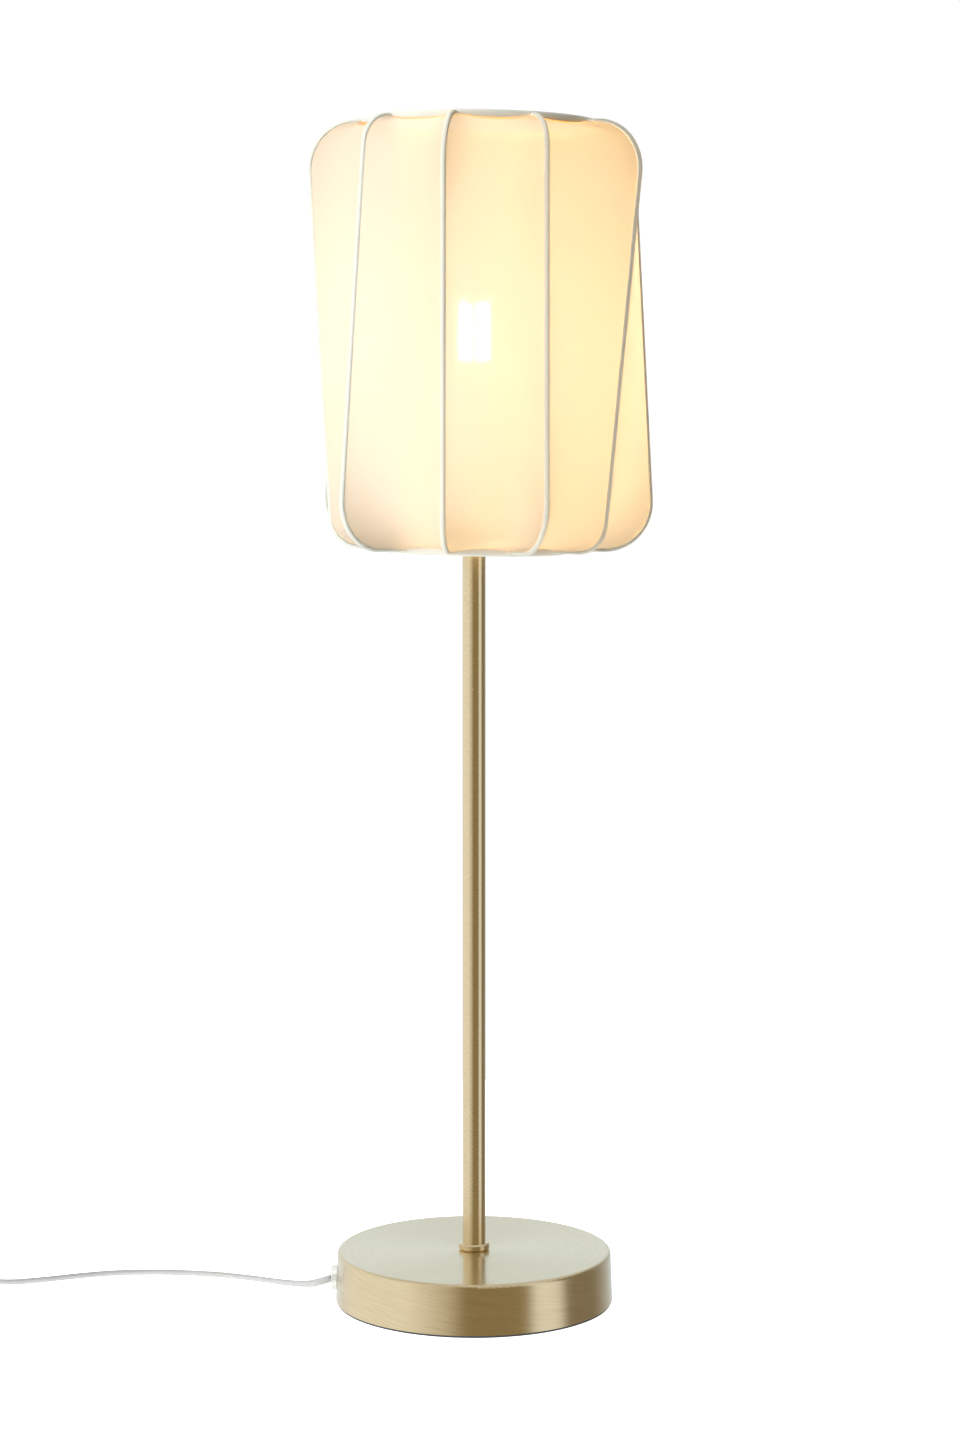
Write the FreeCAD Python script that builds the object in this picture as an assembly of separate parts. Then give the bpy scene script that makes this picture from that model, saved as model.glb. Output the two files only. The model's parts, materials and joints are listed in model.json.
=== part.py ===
import FreeCAD, Part
import math
import os

from FreeCAD import Rotation, Vector

# A table lamp: a weighted round base, a brass stem, a bulb holder and a shade
# of bent wire ribs with thin stretch fabric between them.
# Millimetres, +Z up, origin on the table under the stem's axis.
# The photographed front looks towards -Y and the lead leaves at -X.

os.makedirs("parts", exist_ok=True)

# Base
base_height = 36.0
base_foot_radius = 96.8
base_taper = 1.3
base_edge_round = 2.4
base_wall = 1.2
pad_thickness = 1.5
pad_inset = 0.9
plate_thickness = 2.0
weight_inset = 8.8
weight_thickness = 10.0
boss_radius = 6.0
plate_screw_inset = 21.8
plate_screw_count = 3
plate_screw_radius = 2.0
plate_screw_length = 12.0
plate_screw_head_radius = 4.0

# Bush and clamp for the lead
lead_diameter = 4.2
bush_height = 15.5
bush_flange_radius = 8.5
bush_reach = 3.6
bush_body_radius = 5.6
bush_nut_radius = 7.8
bush_nut_thickness = 3.0
clamp_inset = 26.8
clamp_width = 8.0
clamp_length = 28.0
clamp_thickness = 7.0
clamp_screw_radius = 1.5
clamp_screw_spacing = 18.0

# Stem
collar_radius = 10.75
collar_height = 5.0
collar_spigot_height = 10.0
tube_radius = 8.0
tube_wall = 1.0
stem_top = 531.5
rod_radius = 5.0
rod_bore_radius = 3.8
rod_foot = 14.0
rod_rise = 14.5
nut_across = 17.0
base_nut_height = 7.0
top_nut_height = 5.0
washer_radius = 14.0
washer_thickness = 1.5

# Bulb holder
cup_radius = 21.5
cup_wall = 0.9
cup_height = 54.0
cup_edge_round = 4.0
holder_radius = 20.0
holder_wall = 2.5
holder_cap_height = 26.0
holder_neck_radius = 8.0
holder_neck_height = 6.0
skirt_height = 62.3
core_flange_radius = 19.0
core_flange_thickness = 2.0
core_height = 30.6
core_body_radius = 15.4
shell_wall = 0.5
shell_height = 27.0
ring_radius = 21.25
ring_flange_radius = 30.75
ring_flange_thickness = 4.7
ring_height = 18.4

# Bulb, with heights above the holder's core or the cap's upper edge
bulb_radius = 30.0
bulb_crown_rise = 79.0
bulb_neck_radius = 14.0
bulb_neck_rise = 3.0
glass_thickness = 0.8
cap_radius = 13.0
cap_wall = 0.4
cap_tip_rise = 4.3
cap_low_rise = 7.0
cap_height = 24.0
filament_count = 4
filament_radius = 1.0
filament_rise = 21.7
filament_length = 40.5
filament_foot_ring = 8.2
filament_top_ring = 9.4
mount_stem_radius = 4.0
mount_rod_radius = 1.2
mount_wire_radius = 0.4

# Shade frame
wire_radius = 1.5
plate_radius = 31.0
plate_sheet = 1.2
spider_arm_azimuths = (-60.0, 60.0, 180.0)
spider_arm_reach = 9.0
top_ring_radius = 79.0
bottom_ring_radius = 61.5
arm_bottom_drop = 59.3
shade_height = 286.1
shade_lean_deg = 1.06
shade_lean_drop = 27.5
rib_radius = 110.5
rib_count = 10
first_rib_azimuth = -83.45
# How far each of the five wire loops leans over its height, and how far it
# sits to one side. A loop is one rib and the rib opposite.
loop_leans = (21.3, -17.4, 21.8, -13.7, 23.9)
loop_shifts = (-3.6, 0.8, 0.7, -0.9, 1.4)
wide_corner = 32.0
tight_corner = 20.0
least_arm = 0.5

# Shade fabric
fabric_thickness = 0.8
fabric_wall_dip = 1.0
fabric_arm_dip = 1.0
fabric_corner_gain = 6.0
casing_radius = 1.95
casing_thickness = 0.45
hem_width = 4.6
hem_height = 6.6

# Inline switch
switch_length = 62.0
switch_width = 28.0
switch_height = 15.0
switch_wall = 2.0
switch_split = 6.5
switch_corner = 6.0
switch_distance = 300.2
switch_behind = 33.0
rocker_length = 16.0
rocker_width = 11.0
rocker_pivot_height = 12.4
rocker_throw_deg = 16.0
rocker_pin_radius = 1.2
switch_screw_radius = 1.5
switch_screw_place = 24.0

# Plug
plug_width = 25.5
plug_thickness = 13.6
plug_length = 35.0
plug_straight = 13.0
plug_tail_radius = 4.6
pin_radius = 2.0
pin_length = 19.0
pin_spacing = 19.0
pin_sleeve = 10.0
pin_core_radius = 1.4
pin_depth = 8.0
pin_tip_chamfer = 0.6

# Coil of put-away lead, left of the switch and behind its lead
coil_distance = 73.0
coil_outer_radius = 40.0
coil_turn_pitch = 6.0
coil_layer_pitch = 4.9
coil_turns_per_layer = 3
table_gap = 0.1
plug_distance = 46.0

# Route of the lead from the bush to the switch, set by hand: distance left of
# the base's foot, distance behind the stem, and height. None lies on the table.
lead_route = (
    (10.2, 0.4, 13.4), (18.7, 5.5, 10.2), (28.2, 16.0, 7.2), (41.2, 30.0, 4.0), (58.2, 45.0, None),
    (83.2, 55.5, None), (111.2, 61.5, None), (139.2, 63.2, None), (165.2, 60.5, None),
    (190.2, 51.5, None), (216.2, 40.0, None), (237.2, 34.8, None), (251.2, 33.5, 4.4))

# Clearances
seat_gap = 0.05
slip_gap = 0.2
fabric_gap = 0.5
turn_gap = 0.3
weld_sink = 0.25


def spot(azimuth, radius, height, aside=0.0):
    """Point at an azimuth from the front, positive towards +X, and a distance aside of that plane."""
    angle = math.radians(azimuth)
    across = Vector(math.sin(angle), -math.cos(angle), 0)
    along = Vector(math.cos(angle), math.sin(angle), 0)
    return across * radius + along * aside + Vector(0, 0, height)


def cylinder(radius, low, high, place=Vector(0, 0, 0)):
    return Part.makeCylinder(radius, high - low, place + Vector(0, 0, low))


def tube(outer, inner, low, high, place=Vector(0, 0, 0)):
    return cylinder(outer, low, high, place).cut(cylinder(inner, low, high, place))


def turned(corners):
    """Solid turned about the Z axis from the corners (radius, height) of its outline."""
    points = [Vector(radius, 0, height) for radius, height in corners]
    face = Part.Face(Part.makePolygon(points + points[:1]))
    return face.revolve(Vector(0, 0, 0), Vector(0, 0, 1), 360)


def prism(corners, low, high):
    """Upright prism over a polygon of (x, y) corners."""
    points = [Vector(x, y, low) for x, y in corners]
    return Part.Face(Part.makePolygon(points + points[:1])).extrude(Vector(0, 0, high - low))


def hexagon_nut(across, hole_radius, low, high):
    corner = across / math.sqrt(3)
    corners = [(corner * math.cos(math.radians(60 * i)), corner * math.sin(math.radians(60 * i)))
               for i in range(6)]
    return prism(corners, low, high).cut(cylinder(hole_radius, low, high))


def rounded_path(points, radii):
    """Edges of straight runs joined by tangent arcs, one radius for each inner point."""
    edges = []
    start = points[0]
    for i in range(1, len(points) - 1):
        before = (points[i - 1] - points[i]).normalize()
        after = (points[i + 1] - points[i]).normalize()
        opening = before.getAngle(after)
        cut = radii[i - 1] / math.tan(opening / 2)
        enter = points[i] + before * cut
        leave = points[i] + after * cut
        inward = (before + after).normalize()
        middle = points[i] + inward * (radii[i - 1] / math.sin(opening / 2) - radii[i - 1])
        edges.append(Part.LineSegment(start, enter).toShape())
        edges.append(Part.Arc(enter, middle, leave).toShape())
        start = leave
    edges.append(Part.LineSegment(start, points[-1]).toShape())
    return edges


def section_at(edge, radius):
    """Round wire at the start of an edge, square to it."""
    start = edge.valueAt(edge.FirstParameter)
    direction = edge.tangentAt(edge.FirstParameter)
    return Part.Wire(Part.Circle(start, direction, radius).toShape())


def wire_along(edges, radius):
    """Round bar along a path of runs and arcs."""
    return Part.Wire(edges).makePipe(Part.Face(section_at(edges[0], radius)))


def moved(shape, place):
    copy = shape.copy()
    copy.translate(place)
    return copy


def leaned(shape):
    """The shade leans to one side on its holder."""
    copy = shape.copy()
    copy.rotate(Vector(0, 0, shade_lean_height), Vector(0, 1, 0), shade_lean_deg)
    return copy


def leaned_point(point):
    pivot = Vector(0, 0, shade_lean_height)
    return pivot + Rotation(Vector(0, 1, 0), shade_lean_deg).multVec(point - pivot)


def save(name, solids):
    shape = solids[0] if len(solids) == 1 else Part.makeCompound(solids)
    shape.exportStep("parts/" + name + ".step")


# Places that several pieces share
base_top_radius = base_foot_radius - base_taper
clamp_place = base_foot_radius - clamp_inset
switch_place = Vector(-base_foot_radius - switch_distance, switch_behind, 0)
coil_centre = switch_place + Vector(-coil_distance, coil_outer_radius, 0)
plate_top = pad_thickness + plate_thickness
cover_under = base_height - base_wall
weight_under = cover_under - weight_thickness
washer_under = weight_under - washer_thickness
base_nut_under = washer_under - base_nut_height
collar_top = base_height + collar_height
rod_top = stem_top + rod_rise
cup_floor = stem_top + cup_wall
cup_rim = stem_top + cup_height
cap_neck_foot = cup_floor + top_nut_height
cap_floor_under = cap_neck_foot + holder_neck_height
core_seat = cap_floor_under + holder_cap_height
core_top = core_seat + core_height
skirt_foot = core_seat + core_flange_thickness
holder_rim = skirt_foot + skirt_height
cap_tip = core_top + cap_tip_rise
cap_low = core_top + cap_low_rise
cap_top = cap_low + cap_height
bulb_neck_height = cap_top + bulb_neck_rise
bulb_top = cap_top + bulb_crown_rise
filament_low = cap_top + filament_rise
plate_level = cup_rim
ring_foot = plate_level + plate_sheet + seat_gap
arm_bottom = plate_level - arm_bottom_drop
arm_top = arm_bottom + shade_height
shade_lean_height = plate_level - shade_lean_drop
lead_radius = lead_diameter / 2
lead_level = lead_radius + table_gap


def cover_radius(height):
    """Outer radius of the base cover's wall at a height."""
    share = (height - pad_thickness) / (base_height - pad_thickness)
    return base_foot_radius + (base_top_radius - base_foot_radius) * share


def base_form(shrink):
    """Solid inside the cover's outer skin, drawn in by a distance."""
    low = pad_thickness
    high = base_height - shrink
    rounding = base_edge_round - shrink
    foot = Vector(base_foot_radius - shrink, 0, low)
    shoulder = Vector(cover_radius(high) - shrink, 0, high)
    top = Vector(0, 0, high)
    sides = rounded_path([foot, shoulder, top], [rounding])
    sides.append(Part.LineSegment(top, Vector(0, 0, low)).toShape())
    sides.append(Part.LineSegment(Vector(0, 0, low), foot).toShape())
    return Part.Face(Part.Wire(sides)).revolve(Vector(0, 0, 0), Vector(0, 0, 1), 360)


def bush_axis_cylinder(radius, near, far):
    """Cylinder on the lead bush's axis, from one distance left of the stem to another."""
    return Part.makeCylinder(radius, far - near, Vector(-near, 0, bush_height), Vector(-1, 0, 0))


def base_cover():
    shell = base_form(0).cut(base_form(base_wall))
    shell = shell.cut(cylinder(rod_radius + slip_gap, cover_under - 1, base_height + 1))
    hole = bush_axis_cylinder(bush_body_radius + slip_gap, base_top_radius - 12, base_foot_radius + 5)
    return [shell.cut(hole)]


def plate_screw_spots():
    circle = base_foot_radius - plate_screw_inset
    return [spot(360.0 * i / plate_screw_count, circle, 0) for i in range(plate_screw_count)]


def clamp_screw_spots():
    half = clamp_screw_spacing / 2
    return [Vector(-clamp_place, -half, 0), Vector(-clamp_place, half, 0)]


def clamp_seat_level():
    return bush_height + lead_radius + seat_gap


def base_weight():
    body = cylinder(base_foot_radius - weight_inset, weight_under, cover_under)
    for place in plate_screw_spots():
        body = body.fuse(cylinder(boss_radius, plate_top, weight_under + 1, place))
    seat = Part.makeBox(clamp_width, clamp_length, weight_under - clamp_seat_level() + 1)
    seat.translate(Vector(-clamp_place - clamp_width / 2, -clamp_length / 2, clamp_seat_level()))
    body = body.fuse(seat)
    body = body.cut(cylinder(rod_radius + slip_gap, 0, base_height))
    for place in plate_screw_spots():
        reach = pad_thickness + plate_screw_length + 1
        body = body.cut(cylinder(plate_screw_radius + seat_gap, plate_top, reach, place))
    for place in clamp_screw_spots():
        body = body.cut(cylinder(clamp_screw_radius + seat_gap, clamp_seat_level(), weight_under + 4, place))
    return [body.removeSplitter()]


def base_bottom_plate():
    plate = cylinder(base_foot_radius - base_wall - slip_gap, pad_thickness, plate_top)
    for place in plate_screw_spots():
        shank = plate_screw_radius + slip_gap
        head = plate_screw_head_radius + slip_gap
        cone = Part.makeCone(head, shank, plate_thickness, place + Vector(0, 0, pad_thickness))
        plate = plate.cut(cone)
    return [plate]


def base_pad():
    return [cylinder(base_foot_radius - pad_inset, 0, pad_thickness)]


def base_screws():
    solids = []
    for place in plate_screw_spots():
        head = Part.makeCone(plate_screw_head_radius, plate_screw_radius, plate_thickness,
                             place + Vector(0, 0, pad_thickness))
        shank = cylinder(plate_screw_radius, plate_top, pad_thickness + plate_screw_length, place)
        solids.append(head.fuse(shank).removeSplitter())
    for place in clamp_screw_spots():
        under = clamp_seat_level() - clamp_thickness
        head = cylinder(2 * clamp_screw_radius, under - 2, under, place)
        shank = cylinder(clamp_screw_radius, under, weight_under + 3, place)
        solids.append(head.fuse(shank).removeSplitter())
    return solids


def cord_clamp():
    level = clamp_seat_level()
    bar = Part.makeBox(clamp_width, clamp_length, clamp_thickness)
    bar.translate(Vector(-clamp_place - clamp_width / 2, -clamp_length / 2, level - clamp_thickness))
    groove = bush_axis_cylinder(lead_radius + seat_gap, clamp_place - clamp_width, clamp_place + clamp_width)
    slot = Part.makeBox(2 * clamp_width, 2 * (lead_radius + seat_gap), lead_diameter)
    slot.translate(Vector(-clamp_place - clamp_width, -lead_radius - seat_gap, bush_height))
    bar = bar.cut(groove).cut(slot)
    for place in clamp_screw_spots():
        bar = bar.cut(cylinder(clamp_screw_radius + slip_gap, 0, base_height, place))
    return [bar]


def cord_grommet():
    wall = cover_radius(bush_height)
    flange = bush_axis_cylinder(bush_flange_radius, wall - 3, wall + bush_reach)
    rim = [edge for edge in flange.Edges if abs(edge.BoundBox.Center.x + wall + bush_reach) < 0.01]
    flange = flange.makeFillet(0.9, rim)
    flange = flange.cut(base_form(-seat_gap))
    body = bush_axis_cylinder(bush_body_radius, wall - base_wall - bush_nut_thickness - 2, wall + 1)
    inner_nut = bush_axis_cylinder(bush_nut_radius, wall - base_wall - bush_nut_thickness - 1.2,
                                   wall - base_wall - 1.2)
    bush = flange.fuse(body).fuse(inner_nut)
    return [bush.cut(bush_axis_cylinder(lead_radius + seat_gap, wall - 20, wall + 20)).removeSplitter()]


def stem_collar():
    bore = rod_radius + slip_gap
    spigot = tube_radius - tube_wall - slip_gap
    edge = 1.0
    return [turned([(bore, base_height), (collar_radius - edge, base_height),
                    (collar_radius, base_height + edge), (collar_radius, collar_top - edge),
                    (collar_radius - edge, collar_top), (spigot, collar_top),
                    (spigot, collar_top + collar_spigot_height), (bore, collar_top + collar_spigot_height)])]


def stem_tube():
    return [tube(tube_radius, tube_radius - tube_wall, collar_top, stem_top)]


def stem_rod():
    return [tube(rod_radius, rod_bore_radius, rod_foot, rod_top)]


def base_washer():
    return [tube(washer_radius, rod_radius + slip_gap, washer_under, weight_under)]


def rod_nuts():
    hole = rod_radius + seat_gap
    return [hexagon_nut(nut_across, hole, base_nut_under, washer_under),
            hexagon_nut(nut_across, hole, cup_floor, cap_neck_foot)]


def holder_cup():
    outer = cylinder(cup_radius, stem_top, cup_rim)
    foot = [edge for edge in outer.Edges if abs(edge.BoundBox.ZMax - stem_top) < 0.01]
    outer = outer.makeFillet(cup_edge_round, foot)
    inner = cylinder(cup_radius - cup_wall, cup_floor, cup_rim)
    foot = [edge for edge in inner.Edges if abs(edge.BoundBox.ZMax - cup_floor) < 0.01]
    inner = inner.makeFillet(cup_edge_round - cup_wall, foot)
    return [outer.cut(inner).cut(cylinder(rod_radius + slip_gap, stem_top - 1, cup_floor + 1))]


def holder_cap():
    bore = rod_radius + seat_gap
    inner = holder_radius - holder_wall
    floor_top = cap_floor_under + holder_wall
    return [turned([(bore, cap_neck_foot), (holder_neck_radius, cap_neck_foot),
                    (holder_neck_radius, cap_floor_under), (holder_radius - 3, cap_floor_under),
                    (holder_radius, cap_floor_under + 3), (holder_radius, core_seat), (inner, core_seat),
                    (inner, floor_top), (bore, floor_top)])]


def holder_skirt():
    inner = holder_radius - holder_wall
    return [turned([(holder_radius, skirt_foot), (holder_radius, holder_rim - 0.6),
                    (holder_radius - 0.6, holder_rim), (inner, holder_rim), (inner, skirt_foot)])]


def terminal_spots():
    return [Vector(-9.5, 0, 0), Vector(9.5, 0, 0)]


def holder_core():
    flange = cylinder(core_flange_radius, core_seat, skirt_foot)
    body = cylinder(core_body_radius, core_seat, core_top)
    core = flange.fuse(body).removeSplitter()
    for place in terminal_spots():
        core = core.cut(cylinder(1.5, core_seat - 1, core_top + 1, place))
    return [core]


def holder_shell():
    inner = cap_radius + turn_gap
    return [tube(inner + shell_wall, inner, core_top, core_top + shell_height)]


def holder_contact():
    strip = Part.makeBox(14, 5, 0.5, Vector(-7, -2.5, core_top))
    raised = Part.makeBox(7, 5, 0.5, Vector(-3.5, -2.5, cap_tip - turn_gap - 0.5))
    post = Part.makeBox(0.8, 5, cap_tip - turn_gap - core_top, Vector(-3.5, -2.5, core_top))
    return [strip.fuse([raised, post]).removeSplitter()]


def holder_terminals():
    blocks = []
    for place in terminal_spots():
        block = Part.makeBox(6, 8, 8, place + Vector(-3, -4, core_seat - 8))
        screw = Part.makeCylinder(1.5, 3, place + Vector(0, -4, core_seat - 4), Vector(0, -1, 0))
        head = Part.makeCylinder(2.6, 1.4, place + Vector(0, -5.6, core_seat - 4), Vector(0, -1, 0))
        blocks.append(block.fuse([screw, head]).removeSplitter())
    return blocks


def shade_ring_nut():
    bore = holder_radius + seat_gap
    flange_top = ring_foot + ring_flange_thickness
    return [turned([(bore, ring_foot), (ring_flange_radius - 0.8, ring_foot),
                    (ring_flange_radius, ring_foot + 0.8), (ring_flange_radius, flange_top - 0.8),
                    (ring_flange_radius - 0.8, flange_top), (ring_radius, flange_top),
                    (ring_radius, ring_foot + ring_height), (bore, ring_foot + ring_height)])]


def lead_inner():
    """The lead from the bush through the clamp, up the hollow rod, and split to the two terminals."""
    low = plate_top + lead_radius + 1.2
    turn = rod_foot - low - 0.5
    start = Vector(-cover_radius(bush_height) - bush_reach + 5, 0, bush_height)
    bend = Vector(-clamp_place + clamp_width + 6, 0, bush_height)
    points = [start, bend, Vector(bend.x + 20, 0, low), Vector(0, 0, low), Vector(0, 0, rod_top + 2)]
    trunk = wire_along(rounded_path(points, [20, 20, turn]), lead_radius)
    solids = [trunk]
    for place in terminal_spots():
        side = 1 if place.x > 0 else -1
        foot = Vector(side * lead_radius / 2, 0, rod_top + 1)
        knee = Vector(side * lead_radius / 2, 0, rod_top + 5)
        elbow = Vector(place.x, 0, rod_top + 12)
        end = Vector(place.x, 0, core_seat - 8 - seat_gap)
        solids.append(wire_along(rounded_path([foot, knee, elbow, end], [3, 3]), lead_radius / 2 - 0.05))
    return [solids[0].fuse(solids[1:])]


def bulb_outline(inset):
    """Edges of the glass wall's outline from the crown down to the cap, drawn in by a distance."""
    crown = bulb_radius - inset
    centre_height = bulb_top - bulb_radius
    drop = centre_height - bulb_neck_height
    flare = (bulb_neck_radius ** 2 + drop ** 2 - bulb_radius ** 2) / (2 * (bulb_radius - bulb_neck_radius))
    centre = Vector(0, 0, centre_height)
    flare_centre = Vector(bulb_neck_radius + flare, 0, bulb_neck_height)
    joint = centre + (flare_centre - centre).normalize() * crown
    down = math.atan2(centre_height - joint.z, joint.x)
    half_way = math.radians(45) - down / 2
    middle = centre + Vector(crown * math.cos(half_way), 0, crown * math.sin(half_way))
    top = centre + Vector(0, 0, crown)
    neck = Vector(bulb_neck_radius - inset, 0, bulb_neck_height)
    turn = math.atan2(joint.z - flare_centre.z, flare_centre.x - joint.x) / 2
    reach = flare + inset
    bend = flare_centre + Vector(-reach * math.cos(turn), 0, reach * math.sin(turn))
    inside_cap = cap_radius - cap_wall - seat_gap - inset
    step = Vector(inside_cap, 0, cap_top)
    foot = Vector(inside_cap, 0, cap_top - 5)
    edges = [Part.Arc(top, middle, joint).toShape(), Part.Arc(joint, bend, neck).toShape()]
    edges.append(Part.LineSegment(neck, step).toShape())
    edges.append(Part.LineSegment(step, foot).toShape())
    return top, foot, edges


def bulb_glass():
    top, foot, outside = bulb_outline(0)
    inner_top, inner_foot, inside = bulb_outline(glass_thickness)
    rim = Part.LineSegment(foot, inner_foot).toShape()
    crown = Part.LineSegment(inner_top, top).toShape()
    face = Part.Face(Part.Wire(outside + [rim] + list(reversed(inside)) + [crown]))
    return [face.revolve(Vector(0, 0, 0), Vector(0, 0, 1), 360)]


def bulb_cap():
    shoulder = cap_low + 2
    return [turned([(cap_radius, cap_top), (cap_radius, shoulder), (8.5, cap_low), (8.5, cap_low + cap_wall),
                    (cap_radius - cap_wall, shoulder + cap_wall), (cap_radius - cap_wall, cap_top)])]


def bulb_cap_end():
    return [turned([(0, cap_tip), (4.0, cap_tip), (4.8, cap_tip + 1), (8.2, cap_low - 0.2),
                    (8.2, cap_low + 1.2), (0, cap_low + 1.2)])]


def filament_ends(index):
    azimuth = 45 + 360.0 * index / filament_count
    return (spot(azimuth, filament_foot_ring, filament_low),
            spot(azimuth, filament_top_ring, filament_low + filament_length))


def bulb_mount():
    """Glass stem, its rod, and the wires that hold the filaments."""
    wall = cap_radius - cap_wall - seat_gap - glass_thickness - seat_gap
    foot = cap_top - 4
    stem = turned([(0, foot), (wall, foot), (wall, foot + 1), (mount_stem_radius, foot + 8),
                   (mount_stem_radius, filament_low - 4), (mount_rod_radius, filament_low - 2),
                   (mount_rod_radius, filament_low + filament_length + 1),
                   (0, filament_low + filament_length + 1)])
    wires = []
    drop = mount_wire_radius + seat_gap
    for index in range(filament_count):
        foot_end, top_end = filament_ends(index)
        for end, rise in ((foot_end, -drop), (top_end, drop)):
            hub = Vector(0, 0, end.z + rise)
            wires.append(Part.makeCylinder(mount_wire_radius, Vector(end.x, end.y, 0).Length + 0.6, hub,
                                           Vector(end.x, end.y, 0)))
    return [stem.fuse(wires).removeSplitter()]


def bulb_filaments():
    solids = []
    for index in range(filament_count):
        low, high = filament_ends(index)
        body = Part.makeCylinder(filament_radius, (high - low).Length, low, high - low)
        slab = Part.makeBox(60, 60, filament_length, Vector(-30, -30, filament_low))
        solids.append(body.common(slab))
    return solids


def rib_azimuth(index):
    return first_rib_azimuth + 360.0 / rib_count * index


def rib_corners(index):
    """Radius of a rib's upper and lower corner, before rounding."""
    loop = index % len(loop_leans)
    side = 1 if index < len(loop_leans) else -1
    upper = rib_radius + side * (loop_shifts[loop] + loop_leans[loop] / 2)
    lower = rib_radius + side * (loop_shifts[loop] - loop_leans[loop] / 2)
    return upper, lower


def rib_rounding(corner):
    return wide_corner if corner > rib_radius else tight_corner


def corner_limit(corner, end, turn):
    """Largest corner radius that leaves a straight piece of arm beside the hem."""
    return (corner - end - least_arm) / math.tan(turn / 2)


def shade_outline(upper, lower, top, bottom, roundings, offset, ends):
    """Corner points (radius, height) and radii of an outline offset outwards by a distance."""
    slope = (upper - lower) / (top - bottom)
    lean = math.atan(slope)
    roundings = [min(roundings[0], corner_limit(upper, fabric_ends()[0], math.pi / 2 + lean)),
                 min(roundings[1], corner_limit(lower, fabric_ends()[1], math.pi / 2 - lean))]
    shift = offset * math.sqrt(1 + slope * slope)
    high = top + offset
    low = bottom - offset
    high_radius = upper + slope * offset + shift
    low_radius = lower - slope * offset + shift
    corners = [(ends[0], high), (high_radius, high), (low_radius, low), (ends[1], low)]
    return corners, [rounding + offset for rounding in roundings]


def rib_outline(index, offset, ends):
    upper, lower = rib_corners(index)
    roundings = [rib_rounding(upper), rib_rounding(lower)]
    return shade_outline(upper, lower, arm_top, arm_bottom, roundings, offset, ends)


def panel_outline(index, offset, ends):
    """Outline half way between two ribs, where the fabric dips inwards."""
    first = rib_corners(index)
    second = rib_corners((index + 1) % rib_count)
    flat = math.cos(math.pi / rib_count)
    upper = (first[0] + second[0]) / 2 * flat - fabric_wall_dip
    lower = (first[1] + second[1]) / 2 * flat - fabric_wall_dip
    rounding = (wide_corner + tight_corner) / 2 + fabric_corner_gain
    return shade_outline(upper, lower, arm_top - fabric_arm_dip, arm_bottom + fabric_arm_dip,
                         [rounding, rounding], offset, ends)


def outline_edges(azimuth, aside, outline):
    corners, radii = outline
    return rounded_path([spot(azimuth, radius, height, aside) for radius, height in corners], radii)


def strip_section(azimuth, aside, outside, inside):
    """Closed wire between an outer and an inner outline in one upright plane."""
    outer = outline_edges(azimuth, aside, outside)
    inner = outline_edges(azimuth, aside, inside)
    first = Part.LineSegment(inner[0].Vertexes[0].Point, outer[0].Vertexes[0].Point).toShape()
    last = Part.LineSegment(outer[-1].Vertexes[-1].Point, inner[-1].Vertexes[-1].Point).toShape()
    return Part.Wire(outer + [last] + list(reversed(inner)) + [first])


def rib_ends():
    gap = wire_radius + seat_gap
    return (top_ring_radius + gap, bottom_ring_radius + gap)


def fabric_ends():
    gap = hem_width / 2 + fabric_gap
    return (top_ring_radius + gap, bottom_ring_radius + gap)


def shade_rib(index):
    edges = outline_edges(rib_azimuth(index), 0, rib_outline(index, 0, rib_ends()))
    return [leaned(wire_along(edges, wire_radius))]


def shade_panel(index):
    """Fabric from one rib's casing to the next, through a dipped section half way."""
    half = fabric_thickness / 2
    aside = casing_radius + slip_gap
    ends = fabric_ends()
    following = (index + 1) % rib_count
    azimuth = rib_azimuth(index)
    step = 360.0 / rib_count
    sections = [
        strip_section(azimuth, aside, rib_outline(index, half, ends), rib_outline(index, -half, ends)),
        strip_section(azimuth + step / 2, 0, panel_outline(index, half, ends),
                      panel_outline(index, -half, ends)),
        strip_section(azimuth + step, -aside, rib_outline(following, half, ends),
                      rib_outline(following, -half, ends))]
    return [leaned(Part.makeLoft(sections, True, False))]


def ring(radius, height):
    return leaned(Part.makeTorus(radius, wire_radius, Vector(0, 0, height)))


def shade_top_ring():
    return [ring(top_ring_radius, arm_top)]


def shade_bottom_ring():
    return [ring(bottom_ring_radius, arm_bottom)]


def hem(radius, height):
    """Eight-sided sleeve round a ring's wire, with slots where the wires enter."""
    def sleeve(width, tall):
        corners = []
        for i in range(8):
            angle = math.radians(22.5 + 45 * i)
            scale = 0.5 / math.cos(math.radians(22.5))
            across = width * scale * math.cos(angle)
            up = tall * scale * math.sin(angle)
            corners.append((radius + across, height + up))
        return turned(corners)

    room = 2 * (wire_radius + 0.4)
    return sleeve(hem_width, hem_height).cut(sleeve(room, room))


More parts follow.
